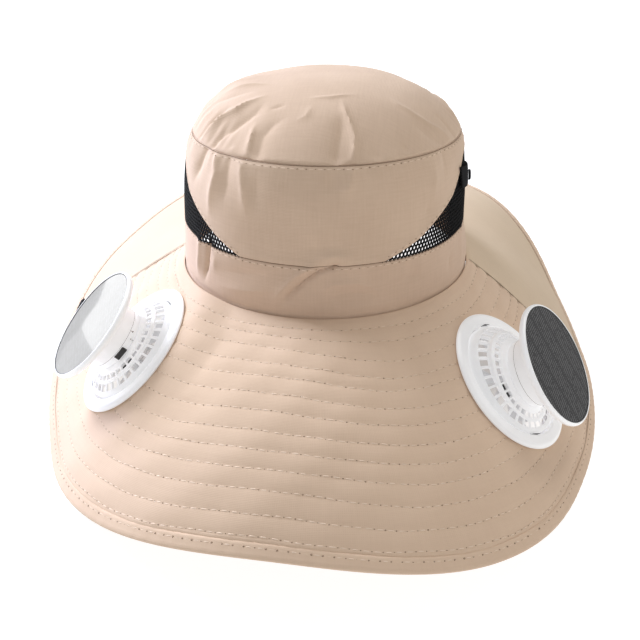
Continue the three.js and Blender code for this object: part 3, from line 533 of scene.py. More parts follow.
class Paint:
    """A Principled material, with short ways to add nodes; _ stands for a space in a socket's name."""

    def __init__(self, name, colour, rough, **values):
        self.material = bpy.data.materials.new(name)
        self.material.use_nodes = True
        self.nodes = self.material.node_tree.nodes
        self.link = self.material.node_tree.links.new
        self.bsdf = self.nodes["Principled BSDF"]
        self.fill(self.bsdf, Base_Color=(*colour, 1), Roughness=rough, **values)

    def fill(self, node, **values):
        for key, value in values.items():
            node.inputs[key.replace("_", " ")].default_value = value

    def node(self, kind, vector=None, **values):
        node = self.nodes.new("ShaderNode" + kind)
        self.fill(node, **values)
        if vector is not None:
            self.link(vector, node.inputs["Vector"])
        return node

    def uv(self):
        return self.node("UVMap").outputs["UV"]

    def noise(self, vector, scale, detail=3.0):
        return self.node("TexNoise", vector, Scale=scale, Detail=detail, Roughness=0.55).outputs["Fac"]

    def wave(self, vector, direction, **values):
        node = self.node("TexWave", vector, **values)
        node.bands_direction = direction
        return node.outputs["Fac"]

    def maths(self, kind, *values):
        node = self.node("Math")
        node.operation = kind
        for k, value in enumerate(values):
            if hasattr(value, "links"):
                self.link(value, node.inputs[k])
            else:
                node.inputs[k].default_value = value
        return node.outputs[0]

    def blend(self, a, share_a, b, share_b):
        return self.maths("ADD", self.maths("MULTIPLY", a, share_a), self.maths("MULTIPLY", b, share_b))

    def ramp(self, fac, low, dark, high, pale):
        node = self.node("ValToRGB")
        for element, place, colour in zip(node.color_ramp.elements, (low, high), (dark, pale)):
            element.position, element.color = place, (*colour, 1)
        self.link(fac, node.inputs["Fac"])
        return node.outputs["Color"]

    def colour(self, source):
        self.link(source, self.bsdf.inputs["Base Color"])

    def bump(self, height, strength, distance):
        node = self.node("Bump", Strength=strength, Distance=distance)
        self.link(height, node.inputs["Height"])
        self.link(node.outputs["Normal"], self.bsdf.inputs["Normal"])


def cotton(name, dark, pale, weave):
    """Plain woven cotton; UV is in millimetres. Threads are drawn as slubs both ways over a fine weave."""
    paint = Paint(name, pale, 0.9, Sheen_Weight=0.12, Sheen_Roughness=0.6, Specular_IOR_Level=0.2)
    uv = paint.uv()
    warp, weft = [paint.noise(paint.node("Mapping", uv, Scale=stretch).outputs["Vector"], 0.9, 2)
                  for stretch in ((1.0, 0.07, 1), (0.07, 1.0, 1))]
    threads = paint.blend(warp, 0.5, weft, 0.5)
    mix = paint.blend(threads, 0.55, paint.noise(uv, 0.035), 0.45)
    paint.colour(paint.ramp(mix, 0.30, dark, 0.70, pale))
    waves = [paint.wave(uv, direction, Scale=0.43, Distortion=0.6, Detail=1.0) for direction in ("X", "Y")]
    height = paint.maths("ADD", paint.maths("MULTIPLY", paint.maths("ADD", *waves), 0.35), threads)
    paint.bump(height, weave, 0.00022)
    return paint.material


def plastic(name, colour, rough, glow=0.0):
    """Moulded plastic; glow is painted light: an emission that stands for the light that a thin white shell
    lets through and lifts the shell's brightness.
    """
    paint = Paint(name, colour, rough, Coat_Weight=0.25, Coat_Roughness=0.12, Specular_IOR_Level=0.5,
                  Emission_Color=(*colour, 1), Emission_Strength=glow)
    place = paint.node("TexCoord").outputs["Object"]
    shade = tuple(c * 0.965 for c in colour)
    paint.colour(paint.ramp(paint.noise(place, 60, 2), 0.35, shade, 0.65, colour))
    paint.bump(paint.noise(place, 900, 2), 0.06, 0.0006)
    return paint.material


def solar_glass():
    """Dark cell under clear resin: fine busbars across, broken into columns. UV is in millimetres."""
    dark, line, gap = (0.024, 0.024, 0.025), (0.125, 0.125, 0.127), (0.018, 0.018, 0.019)
    paint = Paint("solar_cell_glass", dark, 0.09, Coat_Weight=1.0, Coat_Roughness=0.03,
                  Coat_IOR=1.5, Specular_IOR_Level=0.3)
    uv = paint.uv()
    split = paint.node("SeparateXYZ")
    paint.link(uv, split.inputs[0])
    across, up = split.outputs[0], split.outputs[1]
    fingers = paint.maths("PINGPONG", paint.maths("ADD", up, 100.0), 0.65)
    fingers = paint.maths("GREATER_THAN", fingers, 0.43)
    columns = paint.maths("PINGPONG", paint.maths("ADD", across, 104.0), 6.5)
    inside = paint.maths("GREATER_THAN", columns, 0.9)
    broken = paint.maths("GREATER_THAN", paint.noise(uv, 0.35), 0.43)
    drawn = paint.maths("MULTIPLY", paint.maths("MULTIPLY", fingers, inside), broken)
    ground = paint.ramp(paint.noise(uv, 0.12, 2), 0.35, gap, 0.65, dark)
    mix = paint.node("Mix")
    mix.data_type = "RGBA"
    paint.link(drawn, mix.inputs["Factor"])
    paint.link(ground, mix.inputs[6])
    mix.inputs[7].default_value = (*line, 1)
    paint.colour(mix.outputs[2])
    return paint.material


def webbing(name, colour):
    paint = Paint(name, colour, 0.8, Specular_IOR_Level=0.15)
    weave = paint.wave(paint.uv(), "DIAGONAL", Scale=0.4)
    # The weave's raised crests are drawn paler than the black threads: painted sheen on the twill.
    pale = tuple(min(1, c * 1.8 + 0.003) for c in colour)
    paint.colour(paint.ramp(weave, 0.2, colour, 0.9, pale))
    paint.bump(weave, 0.6, 0.0003)
    return paint.material


COTTON = cotton("beige_cotton", (0.565, 0.41, 0.295), (0.655, 0.49, 0.36), 0.45)
COTTON_BAND = cotton("beige_cotton_band", (0.565, 0.405, 0.295), (0.65, 0.475, 0.35), 0.45)
# A paler copy of the beige cotton for the quilted brim and its hem, raised to match how bright the brim looks:
# painted light.
COTTON_BRIM_LIT = cotton("beige_quilted_cotton_lit", (0.66, 0.485, 0.352), (0.71, 0.53, 0.388), 0.3)
COTTON_BACK = cotton("beige_cotton_back", (0.615, 0.475, 0.335), (0.665, 0.52, 0.37), 0.3)
THREAD = Paint("sewing_thread", (0.77, 0.61, 0.475), 0.7).material
# Dark brown of the needle holes: painted shade in the pits.
HOLE_SHADE = Paint("needle_hole_shade", (0.36, 0.25, 0.17), 0.9).material
SEAM_SHADOW = Paint("seam_shadow", (0.2, 0.13, 0.085), 0.9).material
NET = webbing("black_net", (0.002, 0.002, 0.0025))
STRAP = webbing("black_webbing", (0.006, 0.006, 0.007))
# White plastic shells, with a painted glow that brightens them.
WHITE = plastic("white_plastic", (0.9, 0.9, 0.905), 0.28, glow=0.17)
# Darker copy of the white plastic for the impeller and the clamp inside the fans: painted shade, with a faint
# painted glow.
WHITE_INNER_SHADE_AND_GLOW = plastic("white_plastic_inner_shade_and_glow", (0.75, 0.75, 0.76), 0.5, glow=0.06)
# Dark brown for the collar's grooves in white plastic: painted shade.
GROOVE_SHADE = plastic("white_plastic_groove_shade", (0.22, 0.19, 0.16), 0.6)
# Black plastic, also laid as painted shade in the recess round each solar cell and in the flange's clip
# notches.
BLACK_AND_SHADE = plastic("black_plastic", (0.015, 0.015, 0.016), 0.4)
CELL = solar_glass()


# Stitches

def stitches(name, lines, pitch, length, width, raise_mm, hole):
    """Sewn lines: a thread bead for each stitch and a needle hole between two, each hole a shallow pit coloured
    dark as painted shade.
    lines are lists of points and normals in millimetres, close together."""
    beads, holes = [], []
    for points, normals in lines:
        steps = np.linalg.norm(np.diff(points, axis=0), axis=1)
        way = np.concatenate([[0], np.cumsum(steps)])
        count = max(2, int(way[-1] / pitch))
        jitter = rng.uniform(-0.22, 0.22, count)

        def along_line(values, place):
            return np.stack([np.interp(place, way, values[:, k]) for k in range(3)], -1)

        def frames(place, shift=0.0):
            up = unit(along_line(normals, place))
            ahead = unit(along_line(points, place + 1.0) - along_line(points, place - 1.0))
            return zip(along_line(points, place + shift), up, ahead, unit(np.cross(up, ahead)))

        for at, up, ahead, across in frames((np.arange(count) + 0.5) / count * way[-1], jitter):
            half = 0.5 * length * rng.uniform(0.88, 1.08)
            bead = []
            for s, r in ((-half, 0.25), (-0.62 * half, 0.95), (0.62 * half, 0.95), (half, 0.25)):
                for k in range(5):
                    t = 2 * math.pi * k / 5 + 0.3
                    beside = 0.5 * width * r * math.cos(t)
                    above = raise_mm - 0.1 + 0.34 * width * r * math.sin(t)
                    bead.append(at + ahead * s + across * beside + up * above)
            faces = [[5 * j + k, 5 * j + (k + 1) % 5, 5 * j + 5 + (k + 1) % 5, 5 * j + 5 + k]
                     for j in range(3) for k in range(5)]
            beads.append((bead, faces + [[4, 3, 2, 1, 0], [15, 16, 17, 18, 19]]))
        for at, up, ahead, across in frames(np.arange(count + 1) / count * way[-1]):
            size = hole * rng.uniform(0.75, 1.2)
            rim = [at + ahead * size * 1.25 * math.cos(t) + across * size * math.sin(t) + up * 0.06
                   for t in np.arange(7) * 2 * math.pi / 7]
            faces = [list(range(7))] + [[(k + 1) % 7, k, 7] for k in range(7)]
            holes.append((rim + [at - up * 0.25], faces))
    for obj in (add_object(name, *join(beads), None, THREAD),
                add_object(name + "_needle_holes", *join(holes), None, HOLE_SHADE)):
        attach(obj, "hat")


def seam_shadow_line(name, lines, width, lift=0.12, fade=0.0):
    """A thin dark ribbon along a sewn seam, a painted shadow; fade is the share of its length over which each
    end narrows.
    """
    ribbons = []
    for points, normals in lines:
        ahead = unit(np.gradient(points, axis=0))
        place = np.linspace(0, 1, len(points))
        narrow = np.clip(np.minimum(place, 1 - place) / max(fade, 1e-6), 0.05, 1)[:, None]
        across = unit(np.cross(normals, ahead)) * width / 2 * narrow
        raised = points + normals * lift
        n = len(points)
        faces = [[k, k + 1, n + k + 1, n + k] for k in range(n - 1)]
        ribbons.append((list(raised - across) + list(raised + across), faces))
    obj = add_object(name, *join(ribbons), None, SEAM_SHADOW)
    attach(obj, "hat")


def finish_cloth(obj, node):
    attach(obj, "hat")
    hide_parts(node)


# Crown

def crown_tip_piece():
    azimuth = azimuths(400)
    shares = np.linspace(0, 1, 96) ** 0.85
    shares[0] = 0.004
    t = np.radians(azimuth)
    x = TIP_A * shares[:, None] * np.sin(t)
    y = -TIP_B * shares[:, None] * np.cos(t)
    points = tip(x, y)
    roll = smooth(shares, 0.985, 1.0)[:, None]
    _, out = ring(azimuth, TIP_A, TIP_B)
    points = points + (out @ STAND.T)[None] * (0.5 * np.sin(roll * math.pi) - 0.7 * roll)[..., None]
    points[..., 2] -= 1.1 * roll
    piece = cloth("crown_tip_cloth", points, np.stack([x, y], -1), CROWN_CLOTH, -1, COTTON, closed=True)
    finish_cloth(piece, "crown_tip")


def wall_cloth(name, azimuth, height, extra, material, node):
    points = wall(azimuth[None] + 0 * height, height, extra)
    uv = np.stack([azimuth[None] * MM_PER_DEGREE + 0 * height, height], -1)
    piece = cloth(name, points, uv, CROWN_CLOTH, 1, material, closed=True)
    finish_cloth(piece, node)


def crown_side_piece():
    azimuth = azimuths(520)
    low = BAND_H + net_rise(azimuth) + 0.1
    top = CROWN_H - 0.15
    height = low + (top - low) * np.linspace(0, 1, 56)[:, None] ** 0.8
    edge = 0.35 * np.exp(-((height - low - 1.6) / 1.1) ** 2) - 0.5 * (1 - smooth(top - height, 0, 1.0))
    wall_cloth("crown_side_cloth", azimuth, height, edge, COTTON, "crown_side")


def crown_band_piece():
    azimuth = azimuths(520)
    height = np.linspace(-3.6, BAND_H - 0.15, 46)[:, None] + 0 * azimuth[None]
    tuck = -0.3 - 0.35 * np.exp(-((height - 0.6) / 1.0) ** 2) + 0.3 * smooth(height, 1.0, 5.0)
    tuck = tuck - 0.7 * (1 - smooth(BAND_H - height, 0, 1.3))
    wall_cloth("crown_band_cloth", azimuth, height, tuck, COTTON_BAND, "crown_band")


def crown_seams():
    azimuth = np.linspace(-180, 180, 900)
    seams = [wall_line(azimuth, height, step=0.5) for height in (CROWN_H - 0.25, BAND_H - 0.1)]
    seam_shadow_line("crown_seam_shadow", seams, 0.32, 0.08)
    azimuth = np.linspace(-180, 180, 700)
    lines = [wall_line(azimuth, height) for height in (CROWN_H - 1.5, BAND_H - 1.8)]
    for sign, first in ((-1, 24), (1, 30)):
        azimuth = sign * np.linspace(first, 150, 260)
        points, normals = wall_line(azimuth, BAND_H + net_rise(azimuth) + 1.8, 0.3)
        lines.append((points, normals * sign))
    stitches("crown_topstitch", lines, pitch=4.4, length=2.5, width=0.36, hole=0.32, raise_mm=0.05)


def net_cells(side, sign):
    """Six-sided cells round and up the wall with a hole in each: places in millimetres and faces."""
    first, last = NET_START[side] * MM_PER_DEGREE, (180 - NET_START[side]) * MM_PER_DEGREE
    points, faces, known = [], [], {}

    def corner(u, v, kind):
        key = (round(u, 3), round(v, 3), kind)
        if key not in known:
            known[key] = len(points)
            points.append((u, v))
        return known[key]

    reach = NET_PITCH / math.sqrt(3)
    turns = np.arange(6) * math.pi / 3
    for j in range(int(NET_HEIGHT / (NET_PITCH * NET_ROW)) + 2):
        for i in range(int((last - first) / NET_PITCH) + 2):
            u = first + (i + 0.5 * (j % 2)) * NET_PITCH
            v = -0.6 + j * NET_PITCH * NET_ROW
            top = float(net_rise(sign * u / MM_PER_DEGREE)) + 1.4
            if not first - NET_PITCH < u < last + NET_PITCH or v > top:
                continue
            outer = [corner(u + reach * math.sin(a), v + reach * math.cos(a), 0) for a in turns]
            inner = [corner(u + NET_HOLE * math.sin(a), v + 1.12 * NET_HOLE * math.cos(a), 1) for a in turns]
            for k in range(6):
                n = (k + 1) % 6
                faces.append([outer[k], outer[n], inner[n], inner[k]])
    return np.array(points), faces


def net_piece(side, sign):
    """Knitted net on one side of the crown, given its wall by a modifier that is then applied."""
    uv, faces = net_cells(side, sign)
    azimuth = sign * uv[:, 0] / MM_PER_DEGREE
    high = BAND_H + net_rise(azimuth) + 0.8
    height = np.clip(BAND_H + uv[:, 1], BAND_H - 0.9, np.maximum(high, BAND_H))
    faces = faces if sign > 0 else [f[::-1] for f in faces]
    obj = add_object(f"side_net_{side}_mesh", wall(azimuth, height, -0.75), faces, uv, NET)
    thick = obj.modifiers.new("wall", "SOLIDIFY")
    thick.thickness = NET_WALL * MM
    thick.offset = -1
    made = bpy.data.meshes.new_from_object(obj.evaluated_get(bpy.context.evaluated_depsgraph_get()))
    obj.modifiers.clear()
    obj.data = made
    finish_cloth(obj, f"side_net_{side}")


def strap_patch(name, first, last, width, lift, wall_mm, columns, rows, material, bulge):
    """A strip along the strap between two azimuths; lift is the air under it."""
    s = np.linspace(0, 1, columns)[None]
    t = np.linspace(0, 1, rows)[:, None]
    azimuth = first + (last - first) * s + 0 * t
    middle = STRAP_MIDDLE - STRAP_FALL * (azimuth - STRAP_MIDDLE_AT) / STRAP_SPAN
    height = middle + width * (t - 0.5)
    share = height / CROWN_H
    inset = WALL_TAPER * share + SHOULDER * share ** 7
    points, out = ring(azimuth, SEAM_A - inset, SEAM_B - inset)
    round_edge = bulge * (1 - (2 * t - 1) ** 6) * (1 - (2 * s - 1) ** 8)
    drawn = sum(depth * np.exp(-(turn(azimuth, place) / spread) ** 2) for place, spread, depth in SIDE_DRAWS)
    points = points + out * (lift + wall_mm + round_edge + drawn)[..., None]
    points[..., 2] = height
    uv = np.stack([azimuth * STRAP_MM_PER_DEGREE, height], -1)
    return cloth(name, stand(points), uv, wall_mm, 1, material)


def strap_pieces():
    strap = strap_patch("side_strap_webbing", 70, 108, 11.5, 0.6, 0.9, 80, 14, STRAP, 0.12)
    finish_cloth(strap, "side_strap")
    slide = strap_patch("strap_slide", 83, 87.4, 5.4, 1.7, 1.1, 14, 12, BLACK_AND_SHADE, 0.4)
    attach(slide, "hat")
    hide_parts("strap_buckle")


# Brim

def row_reach(azimuth, k):
    blend = smooth(turn(azimuth), -12, 24)
    share = QUILT_ROWS[k][0] * (1 - blend) + QUILT_ROWS[k][1] * blend
    return FIRST_ROW + (reach_of(azimuth) - FIRST_ROW - LAST_ROW) * share


def quilt(azimuth, reach):
    """Height of the quilted face over the plain one: puffed between the rows, drawn in at each."""
    nearest = np.full(np.shape(reach), 99.0)
    for k in range(len(QUILT_ROWS)):
        nearest = np.minimum(nearest, np.abs(reach - row_reach(azimuth, k)))
    x = turn(azimuth) * BRIM_MM_PER_DEGREE
    groove = -0.27 * np.exp(-(nearest / 0.9) ** 2) * (0.75 + 0.35 * np.sin(x * 0.9 + 3 * np.sin(x * 0.17)))
    puff = 0.10 * np.cos(np.clip(nearest / 4.6, 0, 1) * math.pi)
    wander = 0.26 * np.sin(x * 0.16 + reach * 0.05) * np.sin(reach * 0.11 + x * 0.045)
    inside = (reach > 4) & (reach < reach_of(azimuth) - HEM_W)
    return np.where(inside, groove - puff, 0.0) + wander * smooth(reach, 4, 14)


def brim_grid(first, last, columns, reaches, height):
    azimuth = np.linspace(first, last, columns)[None]
    end = reach_of(azimuth) - HEM_W - 0.1
    reach = 0.35 + (end - 0.35) * np.asarray(reaches)[:, None]
    azimuth = azimuth + 0 * reach
    points = brim(azimuth, reach)
    points = points - grid_normals(points, False) * height(azimuth, reach)[..., None]
    points[..., 2] -= 0.75 * np.clip(1 - (end - reach) / 0.9, 0, 1) ** 2
    points[..., 2] -= 0.5 * np.clip(1 - (reach - 0.35) / 1.2, 0, 1) ** 2
    uv = np.stack([turn(azimuth) * BRIM_MM_PER_DEGREE, reach], -1)
    return points, uv


def pierce(points):
    """Squares outside the fans' throats; the edge points of each hole move onto its circle."""
    keep = np.ones((points.shape[0] - 1, points.shape[1] - 1), bool)
    radius = THROAT_R + 0.8
    for fan in PLACES.values():
        inside = from_axis(points, fan)[1] < radius
        whole = inside[:-1, :-1] & inside[1:, :-1] & inside[:-1, 1:] & inside[1:, 1:]
        keep &= ~whole
        touching = np.zeros_like(inside)
        for dj in (0, 1):
            for di in (0, 1):
                touching[dj:dj + whole.shape[0], di:di + whole.shape[1]] |= ~whole
        move = inside & touching
        to_point = points - fan["centre"]
        above = (to_point @ fan["axis"])[..., None] * fan["axis"]
        flat = unit(to_point - above) * radius
        points[move] = (fan["centre"] + above + flat)[move]
    return keep


def brim_front_piece():
    first, last = SIDE_SEAM_LEFT + SIDE_SEAM_GAP, SIDE_SEAM_RIGHT - SIDE_SEAM_GAP
    reaches = np.concatenate([[0, 0.004, 0.009], np.linspace(0.015, 0.985, 124), [0.99, 0.995, 1.0]])
    points, uv = brim_grid(first, last, 330, reaches, quilt)
    keep = pierce(points)
    piece = cloth("brim_front_quilted", points, uv, QUILT, -1, COTTON_BRIM_LIT, keep=keep)
    finish_cloth(piece, "brim_front")


def soft_back(azimuth, reach):
    x = turn(azimuth, 180) * BRIM_MM_PER_DEGREE
    return 0.5 * drift(x, reach, 0.6) * smooth(reach, 3, 20)


def brim_back_piece():
    first, last = SIDE_SEAM_RIGHT + SIDE_SEAM_GAP, 360 + SIDE_SEAM_LEFT - SIDE_SEAM_GAP
    points, uv = brim_grid(first, last, 260, np.linspace(0, 1, 60), soft_back)
    piece = cloth("brim_back_cloth", points, uv, PLAIN, -1, COTTON_BACK)
    finish_cloth(piece, "brim_back")


def clear_of_fans(points, normals):
    """The stretches of a line that lie outside the flanges."""
    clear = np.ones(len(points), bool)
    for fan in PLACES.values():
        clear &= from_axis(points, fan)[1] > FLANGE_R + 0.8
    stretches, start = [], 0
    for n in range(len(points) + 1):
        if n == len(points) or not clear[n]:
            if n - start > 4:
                stretches.append((points[start:n], normals[start:n]))
            start = n + 1
    return stretches


def quilting_stitches():
    lines = []
    azimuth = np.linspace(SIDE_SEAM_LEFT + 1.0, SIDE_SEAM_RIGHT - 1.0, 600)
    for k in range(len(QUILT_ROWS)):
        wobble = 0.35 * np.sin(azimuth * 0.21 + k) + 0.2 * np.sin(azimuth * 0.63 + 2 * k)
        reach = row_reach(azimuth, k) + wobble
        points, up = brim_line(azimuth, reach, beyond=0.5)
        lines += clear_of_fans(points + up * quilt(azimuth, reach)[:, None], up)
    stitches("brim_quilting", lines, pitch=4.9, length=2.9, width=0.58, hole=0.32, raise_mm=0.1)


def beside_seam(base, offset, first, short):
    """A line that runs beside a side seam; an offset of 1 is about 2.2 mm."""
    reach = np.linspace(first, float(reach_of(base)) - HEM_W - short, 120)
    return brim_line(base + offset * 120 / (90 + 0.8 * reach), reach, aside=0.3)


def side_seams():
    seams = [beside_seam(base, offset, 2, 0.5)
             for base, offset in ((SIDE_SEAM_LEFT, 0.0), (SIDE_SEAM_LEFT, -1.0), (SIDE_SEAM_RIGHT, 0.0))]
    seam_shadow_line("side_seam_shadow", seams, 0.6, 0.35)
    lines = [beside_seam(base, offset, 3, 1)
             for base, offset in ((SIDE_SEAM_LEFT, 0.8), (SIDE_SEAM_RIGHT, -0.8))]
    lines = [(points + up * 0.05, up) for points, up in lines]
    stitches("side_seam_topstitch", lines, pitch=4.3, length=2.8, width=0.45, hole=0.25, raise_mm=0.1)


def hem_piece():
    """Tape folded round the brim's edge: a rounded section carried round the hat."""
    columns, around = 480, 22
    azimuth = azimuths(columns)
    reach = reach_of(azimuth)
    t = np.arange(around) / around * 2 * np.pi
    u = -HEM_W / 2 + HEM_W / 2 * np.sign(np.cos(t)) * np.abs(np.cos(t)) ** 0.55
    v = HEM_T / 2 * np.sign(np.sin(t)) * np.abs(np.sin(t)) ** 0.6
    dip = -0.35 * np.exp(-((u + HEM_W - HEM_STITCH) / 0.7) ** 2)
    inner_slope = 0.82 + 0.18 * smooth(u, -HEM_W, -HEM_W * 0.5)
    v = v * inner_slope + np.where(v > 0, dip, 0)
    down = brim(azimuth, reach) - brim(azimuth, reach - HEM_W)
    up = upward(np.cross(down, brim(azimuth + 1, reach) - brim(azimuth - 1, reach)))
    ripple = 0.10 * np.sin(azimuth * 2.9 + 1.3 * np.sin(azimuth * 0.6))
    points = np.array([brim(azimuth, reach + a) + up * (-QUILT / 2 + b + ripple * (b > 0))[:, None]
                       for a, b in zip(u, v)])
    points[..., 2] = np.maximum(points[..., 2], 0)
    faces = []
    for j in range(around):
        k = (j + 1) % around
        for i in range(columns):
            n = (i + 1) % columns
            faces.append([j * columns + i, k * columns + i, k * columns + n, j * columns + n])
    uv = np.stack(np.broadcast_arrays(azimuth * HEM_MM_PER_DEGREE, (t * HEM_MM_PER_RADIAN)[:, None]), -1)
    obj = add_object("brim_hem_tape", points.reshape(-1, 3), faces, uv.reshape(-1, 2), COTTON_BRIM_LIT)
    finish_cloth(obj, "brim_hem")


def hem_seams():
    for side, first, last in (("right", 48, 178), ("left", -178, -50)):
        azimuth = np.linspace(first, last, 400)
        seam = brim_line(azimuth, reach_of(azimuth) - HEM_W - 0.05, beyond=1)
        seam_shadow_line(f"hem_seam_shadow_{side}", [seam], 0.5, 0.15, fade=0.25)
    azimuth = np.linspace(-180, 180, 1400)
    points, up = brim_line(azimuth, reach_of(azimuth) - HEM_W + HEM_STITCH, beyond=1)
    points = points + up * (HEM_T / 2 - QUILT / 2 - 0.42)
    stitches("hem_topstitch", [(points, up)], pitch=4.9, length=2.5, width=0.5, hole=0.4, raise_mm=0.02)


def hem_tab():
    s = np.linspace(-1, 1, 24)[None]
    t = np.linspace(0, 1, 10)[:, None]
    azimuth = TAB_AT + TAB_HALF * s + 0 * t
    reach = reach_of(azimuth) - HEM_W - GAP - 0.7 - TAB_REACH * (1 - t)
    points = brim(azimuth, reach)
    points[..., 2] += 0.7 + 1.2 + 0.1 * (1 - s ** 4)
    uv = np.stack([azimuth * 3, reach], -1)
    obj = cloth("hem_tab_webbing", points, uv, TAB_WALL, -1, STRAP)
    finish_cloth(obj, "hem_tab")


# Fans

def place_local(points, fan, head=False):
    """From a fan's own frame, or its head's, to the hat's, in millimetres."""
    p = np.array(points, float)
    if head:
        c, s = math.cos(math.radians(fan["lean"])), math.sin(math.radians(fan["lean"]))
        y, z = p[:, 1].copy(), p[:, 2] + GRILLE_H
        p[:, 1], p[:, 2] = y * c - z * s, z * c + y * s
    return fan["centre"] + p[:, :1] * fan["x"] + p[:, 1:2] * fan["y"] + p[:, 2:3] * fan["axis"]


def bent(points, lean):
    p = np.array(points, float)
    tilt = math.radians(lean) * smooth(p[:, 2], 0, GRILLE_H)
    y, z = p[:, 1].copy(), p[:, 2].copy()
    p[:, 1] = y * np.cos(tilt) - z * np.sin(tilt)
    p[:, 2] = z * np.cos(tilt) + y * np.sin(tilt)
    return p


def local_piece(name, shape, fan, material, node=None, head=False, bend=False,
                angle=35):
    """A piece of a fan: head puts it on the leaning head, bend follows the grille's lean."""
    points, faces = shape
    uv = np.asarray(points)[:, :2]
    if bend:
        points = bent(points, fan["lean"])
    obj = add_object(name, place_local(points, fan, head), faces, uv, material, angle)
    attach(obj, "hat")
    if node:
        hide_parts(node)
    return obj


def grille_shape():
    """Cone with two tiers of slots, its wall closed round each slot."""
    periods, per, share, wall_mm, foot_mm = 32, 4, 0.78, 1.3, 1.8
    # Rings of the cone: share of the way in, share of the rise, height of the ridge
    rings = np.array([
        (0.0, 0.0, 0), (0.02, 0.2, 0), (0.10, 0.32, 0), (0.19, 0.42, 0), (0.33, 0.54, 0),
        (0.47, 0.65, 0), (0.50, 0.68, 0.35), (0.58, 0.735, 0.35), (0.61, 0.755, 0), (0.71, 0.82, 0),
        (0.81, 0.885, 0), (0.90, 0.94, 0), (0.97, 0.985, 0), (1.0, 1.0, 0),
    ])
    open_rings = (3, 4, 8, 9)
    way, rise, ridge = rings.T
    profile = np.stack([GRILLE_BASE + (GRILLE_TOP - GRILLE_BASE) * way,
                        FAN_FOOT + (GRILLE_H - FAN_FOOT) * rise], 1)
    slope = unit(np.gradient(profile, axis=0))
    normal = np.stack([slope[:, 1], -slope[:, 0]], 1)
    outer = profile + normal * ridge[:, None]
    inner = profile - normal * wall_mm
    inner[0] = (profile[0, 0] - foot_mm, FAN_FOOT)
    inner[-1] = (GRILLE_TOP - foot_mm, GRILLE_H)
    inner[:, 1] = np.maximum(inner[:, 1], FAN_FOOT)
    rib = 1 - share
    fractions = [0, rib, rib + share * 0.33, rib + share * 0.66]
    angles = np.array([(k + f) / periods for k in range(periods) for f in fractions]) * 2 * np.pi
    cols = len(angles)

    def turned(section):
        r, z = section[:, 0, None], section[:, 1, None]
        return np.stack([r * np.cos(angles), r * np.sin(angles), z + 0 * angles], -1).reshape(-1, 3)

    def is_open(i, j):
        return i % per != 0 and j in open_rings

    points = np.concatenate([turned(outer), turned(inner)])
    count = len(rings) * cols
    faces = []
    for j in range(len(rings) - 1):
        for i in range(cols):
            n = (i + 1) % cols
            a, b, c, d = j * cols + i, j * cols + n, (j + 1) * cols + n, (j + 1) * cols + i
            if not is_open(i, j):
                faces += [[a, b, c, d], [d + count, c + count, b + count, a + count]]
                continue
            if not is_open((i - 1) % cols, j):
                faces.append([a, d, d + count, a + count][::-1])
            if not is_open((i + 1) % cols, j):
                faces.append([b, c, c + count, b + count])
            if not is_open(i, j - 1):
                faces.append([a, b, b + count, a + count])
            if not is_open(i, j + 1):
                faces.append([d, c, c + count, d + count][::-1])
    top = (len(rings) - 1) * cols
    for i in range(cols):
        n = (i + 1) % cols
        faces.append([i, i + count, n + count, n])
        faces.append([top + i, top + n, top + n + count, top + i + count])
    return points, faces


def box_shape(size, centre, angle, bevel=0.3):
    """A box with chamfered edges, turned about Z: the hull of three points at each corner."""
    signs = [np.array([x, y, z]) for x in (-1, 1) for y in (-1, 1) for z in (-1, 1)]
    hull = bmesh.new()
    for sign in signs:
        for k in range(3):
            inset = bevel * (np.arange(3) != k)
            hull.verts.new(Vector(sign * (np.array(size) / 2 - inset)))
    bmesh.ops.convex_hull(hull, input=hull.verts)
    hull.verts.ensure_lookup_table()
    hull.verts.index_update()
    points = np.array([v.co for v in hull.verts]) + np.array(centre)
    faces = [[v.index for v in f.verts] for f in hull.faces]
    hull.free()
    c, s = math.cos(angle), math.sin(angle)
    return points @ np.array([[c, s, 0], [-s, c, 0], [0, 0, 1]]), faces


def two_faces(n):
    """Faces of a strip of n steps and of a second one below it, turned over."""
    faces = []
    for k in range(n - 1):
        faces.append([k, k + 1, n + k + 1, n + k])
        faces.append([2 * n + k + 1, 2 * n + k, 3 * n + k, 3 * n + k + 1])
    return faces


def arc_strip(radius, width, first, last, height, thick, steps=14):
    """A thin flat arc lying level at a height, widest in its middle."""
    angles = np.linspace(first, last, steps)
    wide = [radius + width * math.sin(math.pi * k / (steps - 1)) for k in range(steps)]
    edge = [(radius * math.cos(a), radius * math.sin(a)) for a in angles]
    edge += [(r * math.cos(a), r * math.sin(a)) for r, a in zip(wide, angles)]
    return np.array([(x, y, z) for z in (height, height - thick) for x, y in edge]), two_faces(steps)


def contact_shape(side):
    """A dark piece seen through the inner row of the grille."""
    first, last = (-10, 13) if side == "left" else (157, 180)
    rows = [(GRILLE_BASE + (GRILLE_TOP - GRILLE_BASE) * s, FAN_FOOT + (GRILLE_H - FAN_FOOT) * h - 1.7)
            for s, h in ((0.58, 0.735), (0.83, 0.9))]
    angles = np.radians(np.linspace(first, last, 9))
    points = [(r * math.cos(a), r * math.sin(a), z - drop)
              for drop in (0, 0.6) for r, z in rows for a in angles]
    return np.array(points), two_faces(len(angles))


def collar_radius(height, bottom):
    """Outer radius of the collar at a height, where bottom is its own height."""
    heights = [GAP, bottom * 0.45, bottom * 0.8, bottom]
    return float(np.interp(height, heights, [HOUSING_R, HOUSING_R + 0.5, HOUSING_R + 1.4, HOUSING_TOP]))


